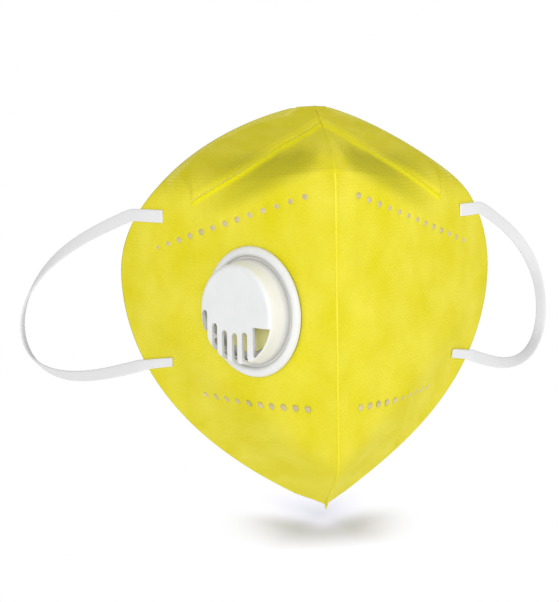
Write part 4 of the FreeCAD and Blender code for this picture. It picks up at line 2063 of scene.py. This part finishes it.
# ------------------------------------------------------------------ studio
@dataclass(frozen=True)
class Softbox:
    """A square lamp that points at the object.

    Attributes:
        name: its name.
        place: where it stands.
        size: length of its side.
        power: its power in watts.
        aim: where it points.
    """

    name: str
    place: tuple[float, float, float]
    size: float
    power: float
    aim: tuple[float, float, float] = (0.0, -30.0 * MM, 0.0)

    def build(self) -> Object:
        """Builds the lamp.

        Returns:
            The lamp.
        """
        lamp = bpy.data.lights.new(self.name, "AREA")
        lamp.size = self.size
        lamp.energy = self.power
        holder = placed(self.name, lamp)
        holder.location = self.place
        ahead = Vector(self.aim) - Vector(self.place)
        holder.rotation_euler = ahead.to_track_quat("-Z", "Y").to_euler()
        return holder


SOFTBOXES = (
    Softbox("front_softbox", (-0.30, -1.05, 0.05), 0.9, 9.0),
    Softbox("right_softbox", (0.80, -0.60, 0.10), 0.7, 3.6),
    Softbox("top_softbox", (-0.10, -0.40, 0.80), 0.8, 1.5),
)
OVERHEAD = Softbox("overhead_softbox", (0.0, 0.0, 0.75), 1.6, 60.0)


@dataclass
class Studio:
    """Floor, lamps, world and camera.

    Attributes:
        floor_drop: gap between the object's lowest point and the floor.
        floor_size: half the length of the floor's side.
        floor_colour: colour of the floor where the shadow lies.
        floor_glow: brightness of the floor where the camera sees it directly.
        shadow_centre: middle of the shadow's patch on the floor.
        shadow_reach: size of the patch, across and towards the camera.
        shadow_fade: share of that size over which the patch goes out.
        world_light: strength of the even light.
        camera_distance: distance from the camera to its aim.
        camera_azimuth: how far it stands towards -X from straight ahead.
        camera_elevation: how far it looks down.
        camera_roll: how far it is turned about its own axis.
        camera_shift: how far the picture's middle lies beside the aim.
        camera_aim: distance of the aim behind the front of the mask.
        lens: its focal length in mm.
        sensor: width of its sensor in mm.
        clip_start: nearest distance that it sees.
    """

    floor_drop: float = 10.0 * MM
    floor_size: float = 6.0
    floor_colour: Colour = (0.36, 0.36, 0.3924)
    floor_glow: float = 0.86
    shadow_centre: Span = (0.0, -85.0 * MM)
    shadow_reach: Span = (34.0 * MM, 105.0 * MM)
    shadow_fade: Span = (0.3, 1.3)
    world_light: float = 0.32
    camera_distance: float = 0.500
    camera_azimuth: float = math.radians(5.2)
    camera_elevation: float = math.radians(6.83)
    camera_roll: float = math.radians(-0.94)
    camera_shift: Span = (16.2 * MM, -2.64 * MM)
    camera_aim: float = 40.0 * MM
    lens: float = 79.88
    sensor: float = 36.0
    clip_start: float = 10.0 * MM

    def build(self, low: Vector) -> None:
        """Builds everything round the object.

        Args:
            low: the object's lowest corner.
        """
        floor = self._floor(low.z - self.floor_drop)
        self._world()
        for softbox in SOFTBOXES:
            softbox.build()
        self._only_on(OVERHEAD.build(), floor)
        self._camera()
        bpy.context.scene.view_settings.view_transform = "Standard"

    def _floor(self, level: float) -> Object:
        """A wide pale floor that keeps the object's shadow.

        Args:
            level: height of the floor.

        Returns:
            The floor.
        """
        square = ((-1, -1), (1, -1), (1, 1), (-1, 1))
        corners = [(x * self.floor_size, y * self.floor_size, level) for x, y in square]
        floor = new_mesh_object("floor", np.array(corners), [(0, 1, 2, 3)])
        material = bpy.data.materials.new("studio_floor")
        material.use_nodes = True
        material.cycles.emission_sampling = "NONE"
        build = NodeBuilder(material.node_tree)
        build.tree.nodes.remove(build.tree.nodes["Principled BSDF"])
        glow = build.node("ShaderNodeEmission", {"Strength": self.floor_glow}).outputs[0]
        paint = {"Color": (*self.floor_colour, 1.0)}
        near = build.node("ShaderNodeBsdfDiffuse", paint).outputs[0]
        far = build.node("ShaderNodeEmission").outputs[0]
        seen = build.choose(self._shadow_fade(build), near, far)
        surface = build.choose(build.seen_directly(), glow, seen)
        build.fill(build.tree.nodes["Material Output"], {"Surface": surface})
        dress(floor, material)
        floor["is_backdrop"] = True
        return floor

    def _shadow_fade(self, build: NodeBuilder) -> Socket:
        """0 in the middle of the shadow's patch and 1 outside it.

        Args:
            build: the floor material's tree.

        Returns:
            The value.
        """
        wide, deep = self.shadow_reach
        x, y = self.shadow_centre
        inputs = {
            "Vector": build.node("ShaderNodeTexCoord").outputs["Object"],
            "Scale": (1 / wide, 1 / deep, 0.0),
            "Location": (-x / wide, -y / deep, 0.0),
        }
        oval = build.node("ShaderNodeMapping", inputs).outputs[0]
        reach = build.node("ShaderNodeVectorMath", {0: oval}, operation="LENGTH").outputs["Value"]
        first, last = self.shadow_fade
        inputs = {"From Min": first, "From Max": last, "Value": reach}
        fade = build.node("ShaderNodeMapRange", inputs, interpolation_type="SMOOTHSTEP")
        return fade.outputs[0]

    def _world(self) -> None:
        """Even light, and plain white where the camera sees it."""
        world = bpy.data.worlds.new("studio_world")
        world.use_nodes = True
        bpy.context.scene.world = world
        build = NodeBuilder(world.node_tree)
        light = build.tree.nodes["Background"]
        build.fill(light, {"Color": WHITE, "Strength": self.world_light})
        plain = build.node("ShaderNodeBackground", {"Color": WHITE, "Strength": 1.0})
        surface = build.choose(build.seen_directly(), light.outputs[0], plain.outputs[0])
        build.fill(build.tree.nodes["World Output"], {"Surface": surface})

    def _only_on(self, lamp: Object, target: Object) -> None:
        """Lets a lamp light one object only, with everything still in its shadow.

        Args:
            lamp: the lamp.
            target: the object that it lights.
        """
        group = bpy.data.collections.new(lamp.name + "_receivers")
        group.objects.link(target)
        lamp.light_linking.receiver_collection = group

    def _camera(self) -> None:
        """The camera, at the view the mask is shown from."""
        a, e, r = self.camera_azimuth, self.camera_elevation, self.camera_roll
        back = Vector((-math.sin(a) * math.cos(e), -math.cos(a) * math.cos(e), math.sin(e)))
        level = Vector((math.cos(a), -math.sin(a), 0.0))
        above = level.cross(-back)
        right = level * math.cos(r) + above * math.sin(r)
        up = above * math.cos(r) - level * math.sin(r)
        aim = Vector((0.0, self.camera_aim - PANEL.face_depth, 0.0))
        place = aim + back * self.camera_distance
        place = place - right * self.camera_shift[0] - up * self.camera_shift[1]
        camera = bpy.data.cameras.new("camera")
        camera.lens = self.lens
        camera.sensor_width = self.sensor
        camera.clip_start = self.clip_start
        holder = placed("camera", camera)
        turn = Matrix((right, up, back)).transposed().to_4x4()
        holder.matrix_world = Matrix.Translation(place) @ turn
        bpy.context.scene.camera = holder


# ------------------------------------------------------------------ the whole mask
class DustMask:
    """Builds every piece of the mask, and gives the plies, seam, welds and foam to the mask's body.
    """

    HIDDEN_GRID = {"columns": 44, "rows": 90}
    FOAM_FILL = 0.9
    RIGHT_TWIST = math.radians(-45.0)

    def __init__(self, frame: dict) -> None:
        """Keeps the frame and builds the finishes.
        """
        self.frame = frame
        groups = Groups()
        self.yellow = YELLOW_COVER.make(groups)
        self.pressed = PRESSED_EDGE.make(groups)
        self.dot_film = WELD_DOT.make(groups)
        self.plies = {
            PlyLayer.COVER: (self.yellow, "yellow_nonwoven"),
            PlyLayer.BATTING: (WHITE_BATTING.make(groups), "white_batting"),
            PlyLayer.FILTER: (WHITE_FILTER.make(groups), "white_filter"),
            PlyLayer.LINING: (WHITE_LINING.make(groups), "white_lining"),
        }
        self.elastic = WHITE_ELASTIC.make(groups)
        self.plastic = WHITE_PLASTIC.make(groups)
        self.silicone = SILICONE.make(groups)
        self.aluminium = ALUMINIUM.make(groups)
        self.foam = FOAM.make()

    def build(self) -> None:
        """Builds cloth, welds, foam, loops and the moulded parts."""
        self._plies()
        self._welds()
        self._foam()
        self._loops()
        self._moulded()

    def _report(self, piece: Object) -> None:
        """Logs a finished piece."""
        LOG.info("%s: %d faces", piece.name, len(piece.data.polygons))

    def _give(self, piece: Object, slot: str, *nodes: str) -> None:
        """Puts a fixed piece on the mask's body, in place of its nodes.

        Args:
            piece: the piece.
            slot: name of its material slot; not used.
            *nodes: the frame nodes that it replaces.
        """
        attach(piece, MASK_BODY)
        if nodes:
            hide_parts(*nodes)
        self._report(piece)

    def _plies(self) -> None:
        """The four plies of both halves."""
        for layer, (material, slot) in self.plies.items():
            shown = layer in (PlyLayer.COVER, PlyLayer.LINING)
            for side in Side:
                piece = ClothPly(layer, side, **({} if shown else self.HIDDEN_GRID)).build()
                dress(piece, material)
                self._give(piece, slot, layer.value + "_" + side.label)

    def _welds(self) -> None:
        """The seam ridge and every row of weld marks."""
        seam = FrontSeam().build()
        dress(seam, self.yellow)
        self._give(seam, "yellow_nonwoven")
        for piece in WeldMarks().build(self.dot_film, self.pressed):
            if not piece.data.uv_layers:
                piece.data.uv_layers.new(name="cloth")
            self._give(piece, "yellow_nonwoven")

    def _foam(self) -> None:
        """The foam strip inside the nose."""
        foam = NoseFoam().build(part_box("nose_foam"))
        dress(foam, self.foam)
        self._give(foam, "grey_foam", "nose_foam")

    def _loops(self) -> None:
        """Both elastic bands, with rounded bends beside their welded ends."""
        for loop in (EarLoop(Side.LEFT), EarLoop(Side.RIGHT, twist=self.RIGHT_TWIST)):
            side = loop.side.label
            band = loop.build()
            dress(band, self.elastic)
            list(loop.bend_ends())
            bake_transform(band)
            tabs = ("ear_loop_upper_tab_" + side, "ear_loop_lower_tab_" + side)
            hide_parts("ear_loop_" + side, *tabs)
            self._report(band)

    def _moulded(self) -> None:
        """Finishes of the parts that the frame already has in full."""
        finishes = {
            "valve_seat": self.plastic,
            "valve_cover": self.plastic,
            "valve_backing_ring": self.plastic,
            "valve_flap": self.silicone,
            "valve_flap_anchor": self.silicone,
            "nose_clip": self.aluminium,
        }
        for node, material in finishes.items():
            dress(self.frame["nodes"][node], material)
            self._report(self.frame["nodes"][node])


def corners(box: tuple) -> list:
    """A box as plain lists of numbers."""
    return [[float(c) for c in corner] for corner in box]


def main() -> None:
    """Loads the frame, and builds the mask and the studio."""
    logging.basicConfig(level=logging.INFO, format="%(name)s %(message)s")
    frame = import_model()
    cad_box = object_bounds()
    DustMask(frame).build()
    Studio().build(Vector(cad_box[0]))


if __name__ == "__main__":
    main()
